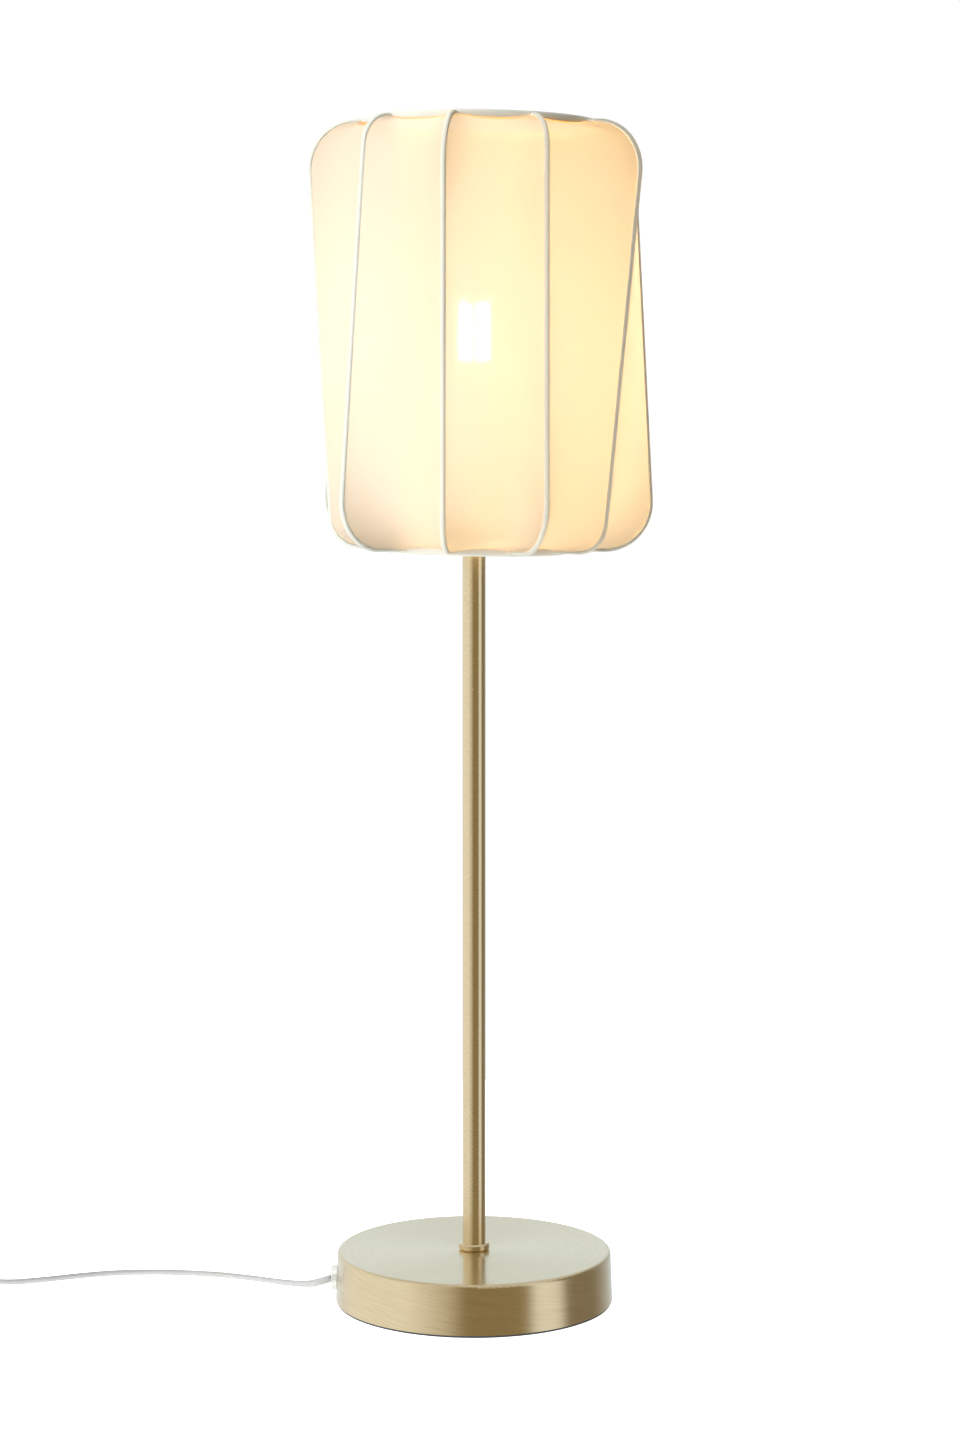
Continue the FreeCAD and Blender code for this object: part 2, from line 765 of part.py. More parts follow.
def shade_binding():
    """Casings over the ribs and the two hems."""
    solids = []
    ends = fabric_ends()
    for index in range(rib_count):
        outside = rib_outline(index, casing_radius + casing_thickness, ends)
        inside = rib_outline(index, wire_radius + 2 * seat_gap, ends)
        section = strip_section(rib_azimuth(index), -casing_radius, outside, inside)
        along = spot(rib_azimuth(index), 0, 0, 2 * casing_radius)
        solids.append(leaned(Part.Face(section).extrude(along)))
    slots = []
    for index in range(rib_count):
        azimuth = rib_azimuth(index)
        for radius, height in ((top_ring_radius, arm_top), (bottom_ring_radius, arm_bottom)):
            slots.append(Part.makeCylinder(wire_radius + slip_gap, hem_width, spot(azimuth, radius, height),
                                           spot(azimuth, 1, 0)))
    for azimuth in spider_arm_azimuths:
        start, knee, end = spider_arm_points(azimuth)
        back = Rotation(Vector(0, 1, 0), -shade_lean_deg)
        pivot = Vector(0, 0, shade_lean_height)
        end = pivot + back.multVec(end - pivot)
        knee = pivot + back.multVec(knee - pivot)
        slots.append(Part.makeCylinder(wire_radius + slip_gap, hem_height + hem_width, end,
                                       (knee - end).normalize()))
    for radius, height in ((top_ring_radius, arm_top), (bottom_ring_radius, arm_bottom)):
        solids.append(leaned(hem(radius, height).cut(slots)))
    return solids


def spider_arm_points(azimuth):
    """Start under the fitter plate, knee beyond its edge, and end on the bottom ring's inner side."""
    level = plate_level - wire_radius + weld_sink
    start = spot(azimuth, plate_radius - 7, level)
    knee = spot(azimuth, plate_radius + spider_arm_reach, level)
    ring_spot = leaned_point(spot(azimuth, bottom_ring_radius, arm_bottom))
    slant = (knee - ring_spot).normalize()
    return start, knee, ring_spot + slant * (2 * wire_radius + seat_gap)


def shade_spider():
    plate = tube(plate_radius, holder_radius + slip_gap, plate_level, plate_level + plate_sheet)
    arms = [wire_along(rounded_path(list(spider_arm_points(azimuth)), [8]), wire_radius)
            for azimuth in spider_arm_azimuths]
    return [plate.fuse(arms).removeSplitter()]


def rounded_block(length, width, low, high, corner):
    block = Part.makeBox(length, width, high - low, Vector(-length / 2, -width / 2, low))
    upright = [edge for edge in block.Edges if abs(edge.BoundBox.ZLength - (high - low)) < 0.01]
    return block.makeFillet(corner, upright)


def switch_screw_spots():
    return [Vector(-switch_screw_place, 0, 0), Vector(switch_screw_place, 0, 0)]


def switch_base():
    block = rounded_block(switch_length, switch_width, 0, switch_split, switch_corner)
    room = rounded_block(switch_length - 2 * switch_wall, switch_width - 2 * switch_wall, switch_wall,
                         switch_split, switch_corner - switch_wall)
    block = block.cut(room)
    for place in switch_screw_spots():
        block = block.fuse(cylinder(3.5, switch_wall - 0.5, switch_split, place))
        block = block.cut(cylinder(switch_screw_radius + slip_gap, 0, switch_split, place))
        block = block.cut(cylinder(3.0, 0, 1.2, place))
    return [moved(block.removeSplitter(), switch_place)]


def switch_cover():
    block = rounded_block(switch_length, switch_width, switch_split, switch_height, switch_corner)
    top = [edge for edge in block.Edges
           if abs(edge.BoundBox.ZMin - switch_height) < 0.01]
    block = block.makeFillet(2.2, top)
    room = rounded_block(switch_length - 2 * switch_wall, switch_width - 2 * switch_wall, switch_split,
                         switch_height - switch_wall, switch_corner - switch_wall)
    block = block.cut(room)
    gap = turn_gap
    cheek_foot = rocker_pivot_height - 2.4
    for side in (-1, 1):
        cheek = Part.makeBox(5, 3, switch_height - switch_wall - cheek_foot + 0.5)
        low_y = rocker_width / 2 + gap if side > 0 else -rocker_width / 2 - gap - 3
        cheek.translate(Vector(-2.5, low_y, cheek_foot))
        block = block.fuse(cheek)
    window = Part.makeBox(rocker_length + 1.8, rocker_width + 2 * gap, 6)
    window.translate(Vector(-(rocker_length + 1.8) / 2, -rocker_width / 2 - gap, switch_height - 4))
    block = block.cut(window)
    pin_hole = Part.makeCylinder(rocker_pin_radius + seat_gap, rocker_width + 5,
                                 Vector(0, -rocker_width / 2 - 2.5, rocker_pivot_height), Vector(0, 1, 0))
    block = block.cut(pin_hole)
    for place in switch_screw_spots():
        block = block.fuse(cylinder(3.5, switch_split, switch_height - switch_wall + 0.5, place))
        block = block.cut(cylinder(switch_screw_radius + seat_gap, switch_split, switch_height - 3, place))
    return [moved(block.removeSplitter(), switch_place)]


def switch_rocker():
    """Two-faced rocker with its pivot pins, lying on its pressed side."""
    half = rocker_length / 2
    profile = [(-half, 3.3), (0, 1.9), (half, 3.3), (half - 1.2, -1.4), (2.4, -4.0), (-2.4, -4.0),
               (-half + 1.2, -1.4)]
    points = [Vector(x, -rocker_width / 2, z) for x, z in profile]
    body = Part.Face(Part.makePolygon(points + points[:1])).extrude(Vector(0, rocker_width, 0))
    pin = Part.makeCylinder(rocker_pin_radius, rocker_width + 4.4, Vector(0, -rocker_width / 2 - 2.2, 0),
                            Vector(0, 1, 0))
    rocker = body.fuse(pin).removeSplitter()
    rocker.rotate(Vector(0, 0, 0), Vector(0, 1, 0), rocker_throw_deg / 2)
    return [moved(rocker, switch_place + Vector(0, 0, rocker_pivot_height))]


def switch_contacts():
    solids = []
    for x in (-14, 14):
        solids.append(Part.makeBox(7, 6, 4, Vector(x - 3.5, -3, switch_wall)))
    strip = Part.makeBox(18, 4, 0.6, Vector(-9, 5.5, switch_wall))
    solids.append(strip.fuse(Part.makeBox(0.6, 4, 3.5, Vector(-9, 5.5, switch_wall))).removeSplitter())
    return [moved(solid, switch_place) for solid in solids]


def switch_screws():
    solids = []
    for place in switch_screw_spots():
        head = cylinder(2.8, 0.2, 1.2, place)
        shank = cylinder(switch_screw_radius, 1.2, switch_height - 4, place)
        solids.append(moved(head.fuse(shank).removeSplitter(), switch_place))
    return solids


def eight_sided(x, width, thickness, level):
    """Wire across X with cut corners."""
    cut = 0.3 * thickness
    half_w = width / 2
    half_t = thickness / 2
    corners = [(-half_w, -half_t + cut), (-half_w + cut, -half_t), (half_w - cut, -half_t),
               (half_w, -half_t + cut), (half_w, half_t - cut), (half_w - cut, half_t),
               (-half_w + cut, half_t), (-half_w, half_t - cut)]
    points = [Vector(x, y, level + z) for y, z in corners]
    return Part.makePolygon(points + points[:1])


def plug_place():
    """The plug's tail, level with the end of the coil's lead."""
    return coil_centre + Vector(plug_distance, coil_outer_radius, 0)


def pin_sides():
    return (-pin_spacing / 2, pin_spacing / 2)


def plug_body():
    level = plug_thickness / 2
    tail = eight_sided(0, 2 * plug_tail_radius, 2 * plug_tail_radius, level)
    shoulder = eight_sided(plug_length - plug_straight, plug_width, plug_thickness, level)
    front = eight_sided(plug_length, plug_width, plug_thickness, level)
    body = Part.makeLoft([tail, shoulder], True, True)
    body = body.fuse(Part.makeLoft([shoulder, front], True, True))
    for y in pin_sides():
        sleeve = Part.makeCylinder(pin_radius, pin_sleeve, Vector(plug_length, y, level), Vector(1, 0, 0))
        body = body.fuse(sleeve)
    for y in pin_sides():
        bore = Part.makeCylinder(pin_core_radius + seat_gap, pin_sleeve + pin_depth,
                                 Vector(plug_length - pin_depth, y, level), Vector(1, 0, 0))
        body = body.cut(bore)
    return [moved(body.removeSplitter(), plug_place())]


def plug_pins():
    level = plug_thickness / 2
    solids = []
    for y in pin_sides():
        core = Part.makeCylinder(pin_core_radius, pin_sleeve + pin_depth - 0.5,
                                 Vector(plug_length - pin_depth + 0.5, y, level), Vector(1, 0, 0))
        tip = Part.makeCylinder(pin_radius, pin_length - pin_sleeve - pin_tip_chamfer,
                                Vector(plug_length + pin_sleeve, y, level), Vector(1, 0, 0))
        nose = Part.makeCone(pin_radius, pin_radius - pin_tip_chamfer, pin_tip_chamfer,
                             Vector(plug_length + pin_length - pin_tip_chamfer, y, level), Vector(1, 0, 0))
        solids.append(moved(core.fuse([tip, nose]).removeSplitter(), plug_place()))
    return solids


def lead_run_points():
    start = Vector(-cover_radius(bush_height) - bush_reach, 0, bush_height)
    end = switch_place + Vector(switch_length / 2, 0, switch_split)
    route = [Vector(-base_foot_radius - left, behind, lead_level if height is None else height)
             for left, behind, height in lead_route]
    return [start] + route + [end + Vector(2.2 * lead_diameter, 0, 0), end]


def lead_run():
    points = lead_run_points()
    runs = [(b - a).Length for a, b in zip(points, points[1:])]
    radii = []
    for i in range(1, len(points) - 1):
        turn = math.pi - (points[i - 1] - points[i]).getAngle(points[i + 1] - points[i])
        radii.append(0.45 * min(runs[i - 1], runs[i]) / math.tan(turn / 2))
    print("lead_run radii:", [round(radius, 1) for radius in radii])
    edges = rounded_path(points, radii)
    solid = wire_along(edges, lead_radius)
    length = sum(edge.Length for edge in edges)
    ratio = solid.Volume / (math.pi * lead_radius ** 2 * length)
    print("lead_run length %.1f, volume over section times length %.5f" % (length, ratio))
    return [solid]


def arc_from(start, direction, end):
    """Arc that leaves a point along a direction and ends at another point."""
    chord = end - start
    along = chord * (1 / chord.Length)
    lift = direction - along * direction.dot(along)
    if lift.Length < 1e-7:
        return Part.LineSegment(start, end).toShape()
    turn = math.atan2(lift.Length, direction.dot(along))
    middle = start + chord * 0.5 + lift.normalize() * (chord.Length / 2 * math.tan(turn / 2))
    return Part.Arc(start, middle, end).toShape()


def biarc(start, direction, end, heading):
    """Two arcs, tangent to each other, from one point and direction to another."""
    gap = end - start
    both = direction + heading
    bend = 2 * (1 - direction.dot(heading))
    if bend < 1e-6:
        reach = gap.dot(gap) / (2 * gap.dot(both))
    else:
        along = gap.dot(both)
        reach = (math.sqrt(along * along + bend * gap.dot(gap)) - along) / bend
    joint = (start + end + (direction - heading) * reach) * 0.5
    second = arc_from(end, heading * -1, joint)
    middle = second.valueAt((second.FirstParameter + second.LastParameter) / 2)
    if isinstance(second.Curve, Part.Line):
        closing = Part.LineSegment(joint, end).toShape()
    else:
        closing = Part.Arc(joint, middle, end).toShape()
    return [arc_from(start, direction, joint), closing]


def coil_stations():
    """Point and direction at each quarter turn: in on the table, up, and out again."""
    stations = []
    quarters = 4 * coil_turns_per_layer
    inner = coil_outer_radius - coil_turn_pitch * coil_turns_per_layer
    for step in range(2 * quarters + 3):
        if step <= quarters:
            radius = coil_outer_radius - coil_turn_pitch * step / 4
            growth = -coil_turn_pitch
            level = lead_level
        elif step <= quarters + 1:
            continue
        else:
            radius = inner + coil_turn_pitch * (step - quarters - 2) / 4
            growth = coil_turn_pitch
            level = lead_level + coil_layer_pitch
        if step in (0, quarters, quarters + 2, 2 * quarters + 2):
            growth = 0
        angle = math.radians(-90 - 90 * step)
        outward = Vector(math.cos(angle), math.sin(angle), 0)
        onward = Vector(math.sin(angle), -math.cos(angle), 0)
        direction = (onward * radius + outward * (growth / (2 * math.pi))).normalize()
        stations.append((coil_centre + outward * radius + Vector(0, 0, level), direction))
    return stations


def lead_coil():
    """The rest of the lead as one tube: from the switch, round the coil in two layers, to the plug."""
    stations = coil_stations()
    left = Vector(-1, 0, 0)
    right = Vector(1, 0, 0)
    start = switch_place + Vector(-switch_length / 2, 0, switch_split)
    stub = start + left * lead_diameter
    end = plug_place() + Vector(0, 0, plug_thickness / 2)
    tail = end - right * lead_diameter
    edges = [Part.LineSegment(start, stub).toShape()]
    edges += biarc(stub, left, stations[0][0], left)
    for here, there in zip(stations, stations[1:]):
        edges += biarc(here[0], here[1], there[0], there[1])
    edges += biarc(stations[-1][0], right, tail, right)
    edges.append(Part.LineSegment(tail, end).toShape())
    path = Part.Wire(edges)
    solid = path.makePipeShell([section_at(edges[0], lead_radius)], True, False)
    length = sum(edge.Length for edge in edges)
    ratio = solid.Volume / (math.pi * lead_radius ** 2 * length)
    radii = [edge.Curve.Radius for edge in edges if isinstance(edge.Curve, Part.Circle)]
    print("lead_coil length %.1f, volume ratio %.5f, least radius %.1f" % (length, ratio, min(radii)))
    print("lead_coil least gap to itself %.2f" % least_gap(edges, length))
    return [solid]


def least_gap(edges, length):
    """Smallest gap between turns, measured on points along the route."""
    points = []
    travelled = 0.0
    for edge in edges:
        count = max(2, int(edge.Length / 2))
        for i in range(count):
            share = i / count
            place = edge.FirstParameter + (edge.LastParameter - edge.FirstParameter) * share
            points.append((travelled + edge.Length * share, edge.valueAt(place)))
        travelled += edge.Length
    least = length
    for i, (along, point) in enumerate(points):
        for other_along, other in points[i + 1:]:
            if other_along - along > 6 * lead_diameter:
                least = min(least, (other - point).Length)
    return least - lead_diameter


def main():
    pieces = {
        "base_cover": base_cover, "base_weight": base_weight, "base_bottom_plate": base_bottom_plate,
        "base_pad": base_pad, "base_screws": base_screws, "cord_grommet": cord_grommet,
        "cord_clamp": cord_clamp, "stem_collar": stem_collar, "stem_tube": stem_tube,
        "stem_rod": stem_rod, "base_washer": base_washer, "rod_nuts": rod_nuts,
        "holder_cup": holder_cup, "holder_cap": holder_cap, "holder_skirt": holder_skirt,
        "holder_core": holder_core, "holder_shell": holder_shell, "holder_contact": holder_contact,
        "holder_terminals": holder_terminals, "shade_ring_nut": shade_ring_nut, "lead_inner": lead_inner,
        "bulb_glass": bulb_glass, "bulb_cap": bulb_cap, "bulb_cap_end": bulb_cap_end,
        "bulb_mount": bulb_mount, "bulb_filaments": bulb_filaments, "shade_spider": shade_spider,
        "shade_top_ring": shade_top_ring, "shade_bottom_ring": shade_bottom_ring,
        "shade_binding": shade_binding, "switch_base": switch_base, "switch_cover": switch_cover,
        "switch_rocker": switch_rocker, "switch_contacts": switch_contacts, "switch_screws": switch_screws,
        "plug_body": plug_body, "plug_pins": plug_pins, "lead_run": lead_run, "lead_coil": lead_coil,
    }
    for name, make in pieces.items():
        save(name, make())
    for index in range(rib_count):
        save("shade_rib_%02d" % (index + 1), shade_rib(index))
        save("shade_panel_%02d" % (index + 1), shade_panel(index))


main()
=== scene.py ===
import json
import math

import bmesh
import bpy
from bpy.props import FloatProperty, FloatVectorProperty, IntProperty, PointerProperty
from bpy.types import Operator, Panel, PropertyGroup
from mathutils import Matrix, Vector

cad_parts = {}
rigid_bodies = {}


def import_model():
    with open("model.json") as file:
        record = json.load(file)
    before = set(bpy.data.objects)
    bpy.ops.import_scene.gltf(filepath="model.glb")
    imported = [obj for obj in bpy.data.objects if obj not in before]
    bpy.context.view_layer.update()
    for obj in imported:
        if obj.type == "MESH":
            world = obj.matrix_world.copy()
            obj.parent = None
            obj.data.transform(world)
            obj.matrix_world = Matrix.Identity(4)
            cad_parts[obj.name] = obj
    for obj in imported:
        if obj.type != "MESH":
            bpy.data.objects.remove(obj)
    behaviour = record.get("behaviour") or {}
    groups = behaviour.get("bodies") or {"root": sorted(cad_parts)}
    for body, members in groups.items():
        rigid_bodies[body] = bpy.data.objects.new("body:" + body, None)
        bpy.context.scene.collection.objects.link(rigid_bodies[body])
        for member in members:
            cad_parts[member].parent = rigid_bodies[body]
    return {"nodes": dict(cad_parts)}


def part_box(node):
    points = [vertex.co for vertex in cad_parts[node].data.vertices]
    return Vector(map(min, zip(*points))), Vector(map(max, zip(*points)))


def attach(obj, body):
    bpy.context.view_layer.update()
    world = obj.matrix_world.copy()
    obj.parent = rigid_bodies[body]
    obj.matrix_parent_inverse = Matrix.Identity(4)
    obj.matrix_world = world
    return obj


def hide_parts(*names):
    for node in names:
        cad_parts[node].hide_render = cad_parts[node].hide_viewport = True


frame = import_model()

bl_info = {
    "name": "Fabric Shade Table Lamp",
    "version": (1, 0, 0),
    "blender": (4, 5, 0),
    "location": "3D View > Sidebar > Lamp",
    "description": "Dresses a brass table lamp with its ribbed fabric shade, lit bulb and clear lead",
    "category": "Object",
}

# Lengths are in millimetres and angles in degrees here, unless a comment says otherwise
MM = 0.001

# Shade: ten ribs, of which each opposite pair is one loop with its own lean and shift
RIB_COUNT = 10
RIB_STEP = 360.0 / RIB_COUNT
FIRST_RIB = -83.45
RIB_RADIUS = 110.5
LOOP_LEANS = (21.3, -17.4, 21.8, -13.7, 23.9)
LOOP_SHIFTS = (-3.6, 0.8, 0.7, -0.9, 1.4)
WIDE_CORNER = 32.0
TIGHT_CORNER = 20.0
TOP_RING = 79.0
BOTTOM_RING = 61.5
ARM_TOP = 812.3
ARM_BOTTOM = 526.2
SHADE_LEAN = 1.06
LEAN_PIVOT = Vector((0, 0, 558.0))
HEM_REACH = 2.8
CORNER_ROOM = 0.5

# Cloth: how far its edges, the casings and the hems' curves start outside the rings, how deep those
# curves are, and the steps of edges and casings
CLOTH_REACH = 1.6
CASING_REACH = 0.6
HEM_LIFT = 1.7
SCALLOP_TOP = 2.4
SCALLOP_BOTTOM = 2.0
CLOTH_CUTS = 19
CLOTH_RUN_STEPS = (2, 32, 2)
CLOTH_CORNER_STEPS = 10
CASING_RUN_STEPS = (6, 60, 6)
CASING_CORNER_STEPS = 14

# Cloth, in metres: its map's width, the knit's pitch, and the orange band at the hem, which fades out. The band
# is painted glow: it stands in for the warm light seen where the cloth turns over the ring
MAP_WIDTH = 0.068
KNIT_PITCH = 0.0006
FOLD_END = 0.0008
FOLD_FADED = 0.0024
PAINTED_HEM_GLOW = (0.95, 0.5, 0.15)

# Filaments: their turn from the photo's view, and their distance from the bulb's axis
FILAMENT_COUNT = 4
FILAMENT_TURN = 29.0
FILAMENT_FOOT = 7.6
FILAMENT_TOP = 7.8
FILAMENT_INSET = 1.5
FILAMENT_RADIUS = 0.9

# Filaments' metal ends, and wires from the stem's press below and from its tip above
CLIP_RADIUS = 0.5
CLIP_OUTWARDS = 1.2
CLIP_INWARDS = 1.7
FOOT_WIRE_RADIUS = 0.35
FOOT_WIRE_DROP = 0.8
PRESS_DROP = 8.0
PRESS_SHARE = 0.25
TOP_WIRE_RADIUS = 0.3
TOP_WIRE_RISE = 0.9
TIP_RISE = 2.2

# Glass stem: radii, with heights from the filaments' feet and then from their tops
STEM_BELOW = ((0, -25.7), (11.7, -25.7), (11.7, -24.7), (9.2, -23.3), (6.6, -21.3), (4.9, -19.1),
              (4.1, -16.2), (4.0, -9), (3.4, -6.6), (1.9, -5.2), (1.2, -3.4))
STEM_ABOVE = ((1.1, 0.6), (1.5, 1.6), (1.2, 2.8), (0, 3.2))

# Warm lights beside the filaments, in metres: names with heights from their middle
SIDE_GLOWS = (("side_glow_high", 0.105), ("side_glow_low", -0.115))
SIDE_GLOW_X = -0.055
SIDE_GLOW_SIZE = (0.02, 0.1)
BULB_LIGHT_RADIUS = 0.018

# Brushed brass, per metre and in metres: fine marks, wider bands, and the base's side, where they slant
MARKS_PER_METRE = 5200.0
BANDS_PER_METRE = 900.0
SIDE_RADIUS = 0.0935
SIDE_SLANT = 0.0136

# Route of the lead from the bush to the switch, its turn at the start and further on, and the
# distance in metres over which the first turn fades
BUSH_TIP = -99.87
LEAD_RUN = (
    (BUSH_TIP, 0, 15.0), (-106, 0.4, 12.9), (-114.5, 5.0, 9.4), (-124.5, 16, 6.5), (-138, 30, 4.0),
    (-155, 45, 2.3), (-180, 55.5, 2.3), (-208, 61.5, 2.3), (-236, 63.2, 2.3), (-262, 60.5, 2.3),
    (-287, 51.5, 2.3), (-313, 40, 2.3), (-334, 34.8, 2.3), (-348, 33.5, 4.4), (-356.76, 33, 6.5),
    (-366, 33, 6.5))
RUN_TWIST = (80, 42)
TWIST_FADE = 0.07

# Coil of the lead, between the switch and the plug: three turns on the table and three on top
SWITCH_TO_COIL = ((-428, 33, 6.5), (-432.2, 33, 6.5), (-444, 33, 4.6), (-456, 33, 2.6))
COIL_TO_PLUG = ((-452, 113, 7.0), (-436, 113, 6.8), (-424, 113, 6.8))
COIL_MIDDLE = Vector((-470.0, 73.0, 0.0))
COIL_OUTSIDE = 40.0
COIL_INSIDE = 22.0
COIL_TURNS = 3
COIL_STEPS = 16
COIL_LOW = 2.2
COIL_HIGH = 7.1

# Camera and floor, in metres and degrees
CAMERA_PLACE = (0.0041, -2.2, 0.615)
CAMERA_DIP = 5.439
FLOOR_HEIGHT = -0.0002
FLOOR_GLOW = 1.3
BACKDROP_GLOW = 1.05

# Soft lights: name, place, aim and size in metres, and the setting that holds its power
SOFTBOXES = (
    ("key_light", (-1.7, -1.1, 1.0), (0.0, 0.0, 0.6), (2.4, 2.2), "key"),
    ("front_light", (-0.7, -2.7, 1.1), (0.0, 0.0, 0.6), (3.0, 2.4), "front"),
    ("back_light", (1.3, 2.3, 1.1), (0.0, 0.0, 0.6), (2.6, 2.2), "back"),
    ("top_light", (-0.3, -0.3, 2.4), (0.0, 0.0, 0.0), (2.6, 2.6), "top"))

# Studio walls that the brass mirrors: share of a turn from behind by the left and front, and colour.
# Overhead light takes over between two heights of the way that is looked.
WHITE = (1.0, 1.0, 1.0)
COOL_BEHIND = (0.82, 0.93, 1.0)
COOL_RIGHT = (0.95, 0.97, 1.0)
DIM_FRONT = (0.30, 0.235, 0.13)
DIM_RIGHT = (0.26, 0.22, 0.16)
WALLS = (
    (0.0, COOL_BEHIND), (0.07, (0.84, 0.88, 0.92)), (0.11, (0.84, 0.85, 0.86)), (0.17, WHITE),
    (0.34, WHITE), (0.36, (0.93, 0.92, 0.9)), (0.44, (0.62, 0.58, 0.5)), (0.478, DIM_FRONT),
    (0.622, DIM_FRONT), (0.648, COOL_RIGHT), (0.705, COOL_RIGHT), (0.735, DIM_RIGHT),
    (0.83, DIM_RIGHT), (0.90, (0.5, 0.5, 0.5)), (1.0, COOL_BEHIND))
OVERHEAD_START = 0.42
OVERHEAD_FULL = 0.78


class Line:
    """The output of a shader node, which adds and multiplies as a number does."""

    def __init__(self, nodes, socket):
        self.nodes = nodes
        self.socket = socket

    def math(self, operation, first, second=0.0):
        return self.nodes.add("ShaderNodeMath", {"operation": operation}, {0: first, 1: second})

    def __add__(self, other):
        return self.math("ADD", self, other)

    def __radd__(self, other):
        return self.math("ADD", other, self)

    def __sub__(self, other):
        return self.math("SUBTRACT", self, other)

    def __rsub__(self, other):
        return self.math("SUBTRACT", other, self)

    def __mul__(self, other):
        return self.math("MULTIPLY", self, other)

    def __rmul__(self, other):
        return self.math("MULTIPLY", other, self)

    def __truediv__(self, other):
        return self.math("DIVIDE", self, other)

    def __pow__(self, other):
        return self.math("POWER", self, other)

    def sine(self):
        return self.math("SINE", self)

    def sign(self):
        return self.math("SIGN", self)

    def over(self, limit):
        return self.math("GREATER_THAN", self, limit)

    def angle_from(self, other):
        return self.math("ARCTAN2", self, other)


class Nodes:
    """A node tree that is built from nothing."""

    def __init__(self, tree):
        self.tree = tree
        tree.nodes.clear()

    def add(self, kind, settings=None, inputs=None, output=0):
        node = self.tree.nodes.new(kind)
        for name, value in (settings or {}).items():
            if name == "stops":
                ramp = node.color_ramp.elements
                while len(ramp) < len(value):
                    ramp.new(0.5)
                for element, (place, colour) in zip(ramp, value):
                    element.position = place
                    element.color = (*colour, 1)
            else:
                setattr(node, name, value)
        for name, value in (inputs or {}).items():
            if isinstance(value, Line):
                self.tree.links.new(value.socket, node.inputs[name])
            else:
                node.inputs[name].default_value = value
        return Line(self, node.outputs[output]) if node.outputs else None

    def object_place(self):
        return self.add("ShaderNodeTexCoord", output="Object")

    def axes(self, place):
        """The three parts of a place or a direction."""
        split = self.tree.nodes.new("ShaderNodeSeparateXYZ")
        self.tree.links.new(place.socket, split.inputs[0])
        return [Line(self, split.outputs[i]) for i in range(3)]

    def vector(self, operation, inputs, output=0):
        return self.add("ShaderNodeVectorMath", {"operation": operation}, inputs, output)

    def noise(self, place, scale, detail=2.0):
        return self.add("ShaderNodeTexNoise", None, {"Vector": place, "Scale": scale, "Detail": detail})

    def blend(self, share, first, second):
        return self.add("ShaderNodeMix", {"data_type": "RGBA"}, {0: share, 6: first, 7: second}, 2)

    def stretched(self, place, scale):
        return self.add("ShaderNodeMapping", None, {"Vector": place, "Scale": scale})

    def bump(self, height, strength, distance, normal=None):
        inputs = {"Height": height, "Strength": strength, "Distance": distance}
        if normal:
            inputs["Normal"] = normal
        return self.add("ShaderNodeBump", None, inputs)

    def surface(self, shader):
        self.add("ShaderNodeOutputMaterial", None, {"Surface": shader})


def rgba(colour, share=1.0):
    """The colour, darkened to a share of itself, with full alpha."""
    return (*(share * channel for channel in colour), 1)


def new_material(name):
    material = bpy.data.materials.new(name)
    material.use_nodes = True
    return material, Nodes(material.node_tree)


def plain_finish(name, colour, roughness, metallic=0.0, grain=900.0, depth=0.00004, variation=0.12):
    """A finish with slow changes of its colour, and fine grain in its gloss and surface."""
    material, nodes = new_material(name)
    place = nodes.object_place()
    slow = nodes.noise(place, 45.0, 3.0)
    fine = nodes.noise(place, grain, 2.0)
    nodes.surface(nodes.add("ShaderNodeBsdfPrincipled", None, {
        "Base Color": nodes.blend(slow, rgba(colour, 1 - variation), rgba(colour)),
        "Roughness": roughness * (0.85 + 0.3 * fine), "Metallic": metallic,
        "Normal": nodes.bump(fine, 0.4, depth)}))
    return material


def brushed_brass(name, settings):
    """Brass with brushing round its axis, under a thin clear lacquer."""
    material, nodes = new_material(name)
    place = nodes.object_place()
    x, y, z = nodes.axes(place)
    radius = (x * x + y * y) ** 0.5
    angle = y.angle_from(x)
    rise = z + SIDE_SLANT * angle * radius.over(SIDE_RADIUS)
    patterns = []
    for fineness, length in ((MARKS_PER_METRE, 5.0), (BANDS_PER_METRE, 3.0)):
        track = nodes.add("ShaderNodeCombineXYZ", None,
                          {0: radius * fineness, 1: angle * length, 2: rise * fineness})
        patterns.append(nodes.noise(track, 1.0, 3.0))
    mark, band = patterns
    slow = nodes.noise(place, 28.0, 2.0)
    streak = 1.5 * mark + 1.3 * band - 0.9
    nodes.surface(nodes.add("ShaderNodeBsdfPrincipled", None, {
        "Base Color": nodes.blend(streak, rgba(settings.brass_shade), rgba(settings.brass)),
        "Metallic": 1.0, "Roughness": settings.brush_gloss * (0.8 + 0.25 * mark + 0.15 * slow),
        "Anisotropic": settings.brush_spread, "Anisotropic Rotation": 0.25,
        "Coat Weight": settings.lacquer, "Coat Roughness": 0.12,
        "Normal": nodes.bump(mark, 0.25, 0.00002)}))
    return material


def evened_normal(nodes, evenness, centre, axes_kept):
    """The way straight out from a centre, and the cloth's normal evened out towards it."""
    surface = nodes.add("ShaderNodeNewGeometry", output="Normal")
    out = nodes.vector("SUBTRACT", {0: nodes.object_place(), 1: centre})
    out = nodes.vector("MULTIPLY", {0: out, 1: axes_kept})
    out = nodes.vector("NORMALIZE", {0: out})
    side = nodes.vector("DOT_PRODUCT", {0: surface, 1: out}, "Value").sign()
    facing = nodes.vector("SCALE", {0: out, 3: side})
    even = nodes.add("ShaderNodeMix", {"data_type": "VECTOR"}, {0: evenness, 4: surface, 5: facing}, 1)
    return out, nodes.vector("NORMALIZE", {0: even})


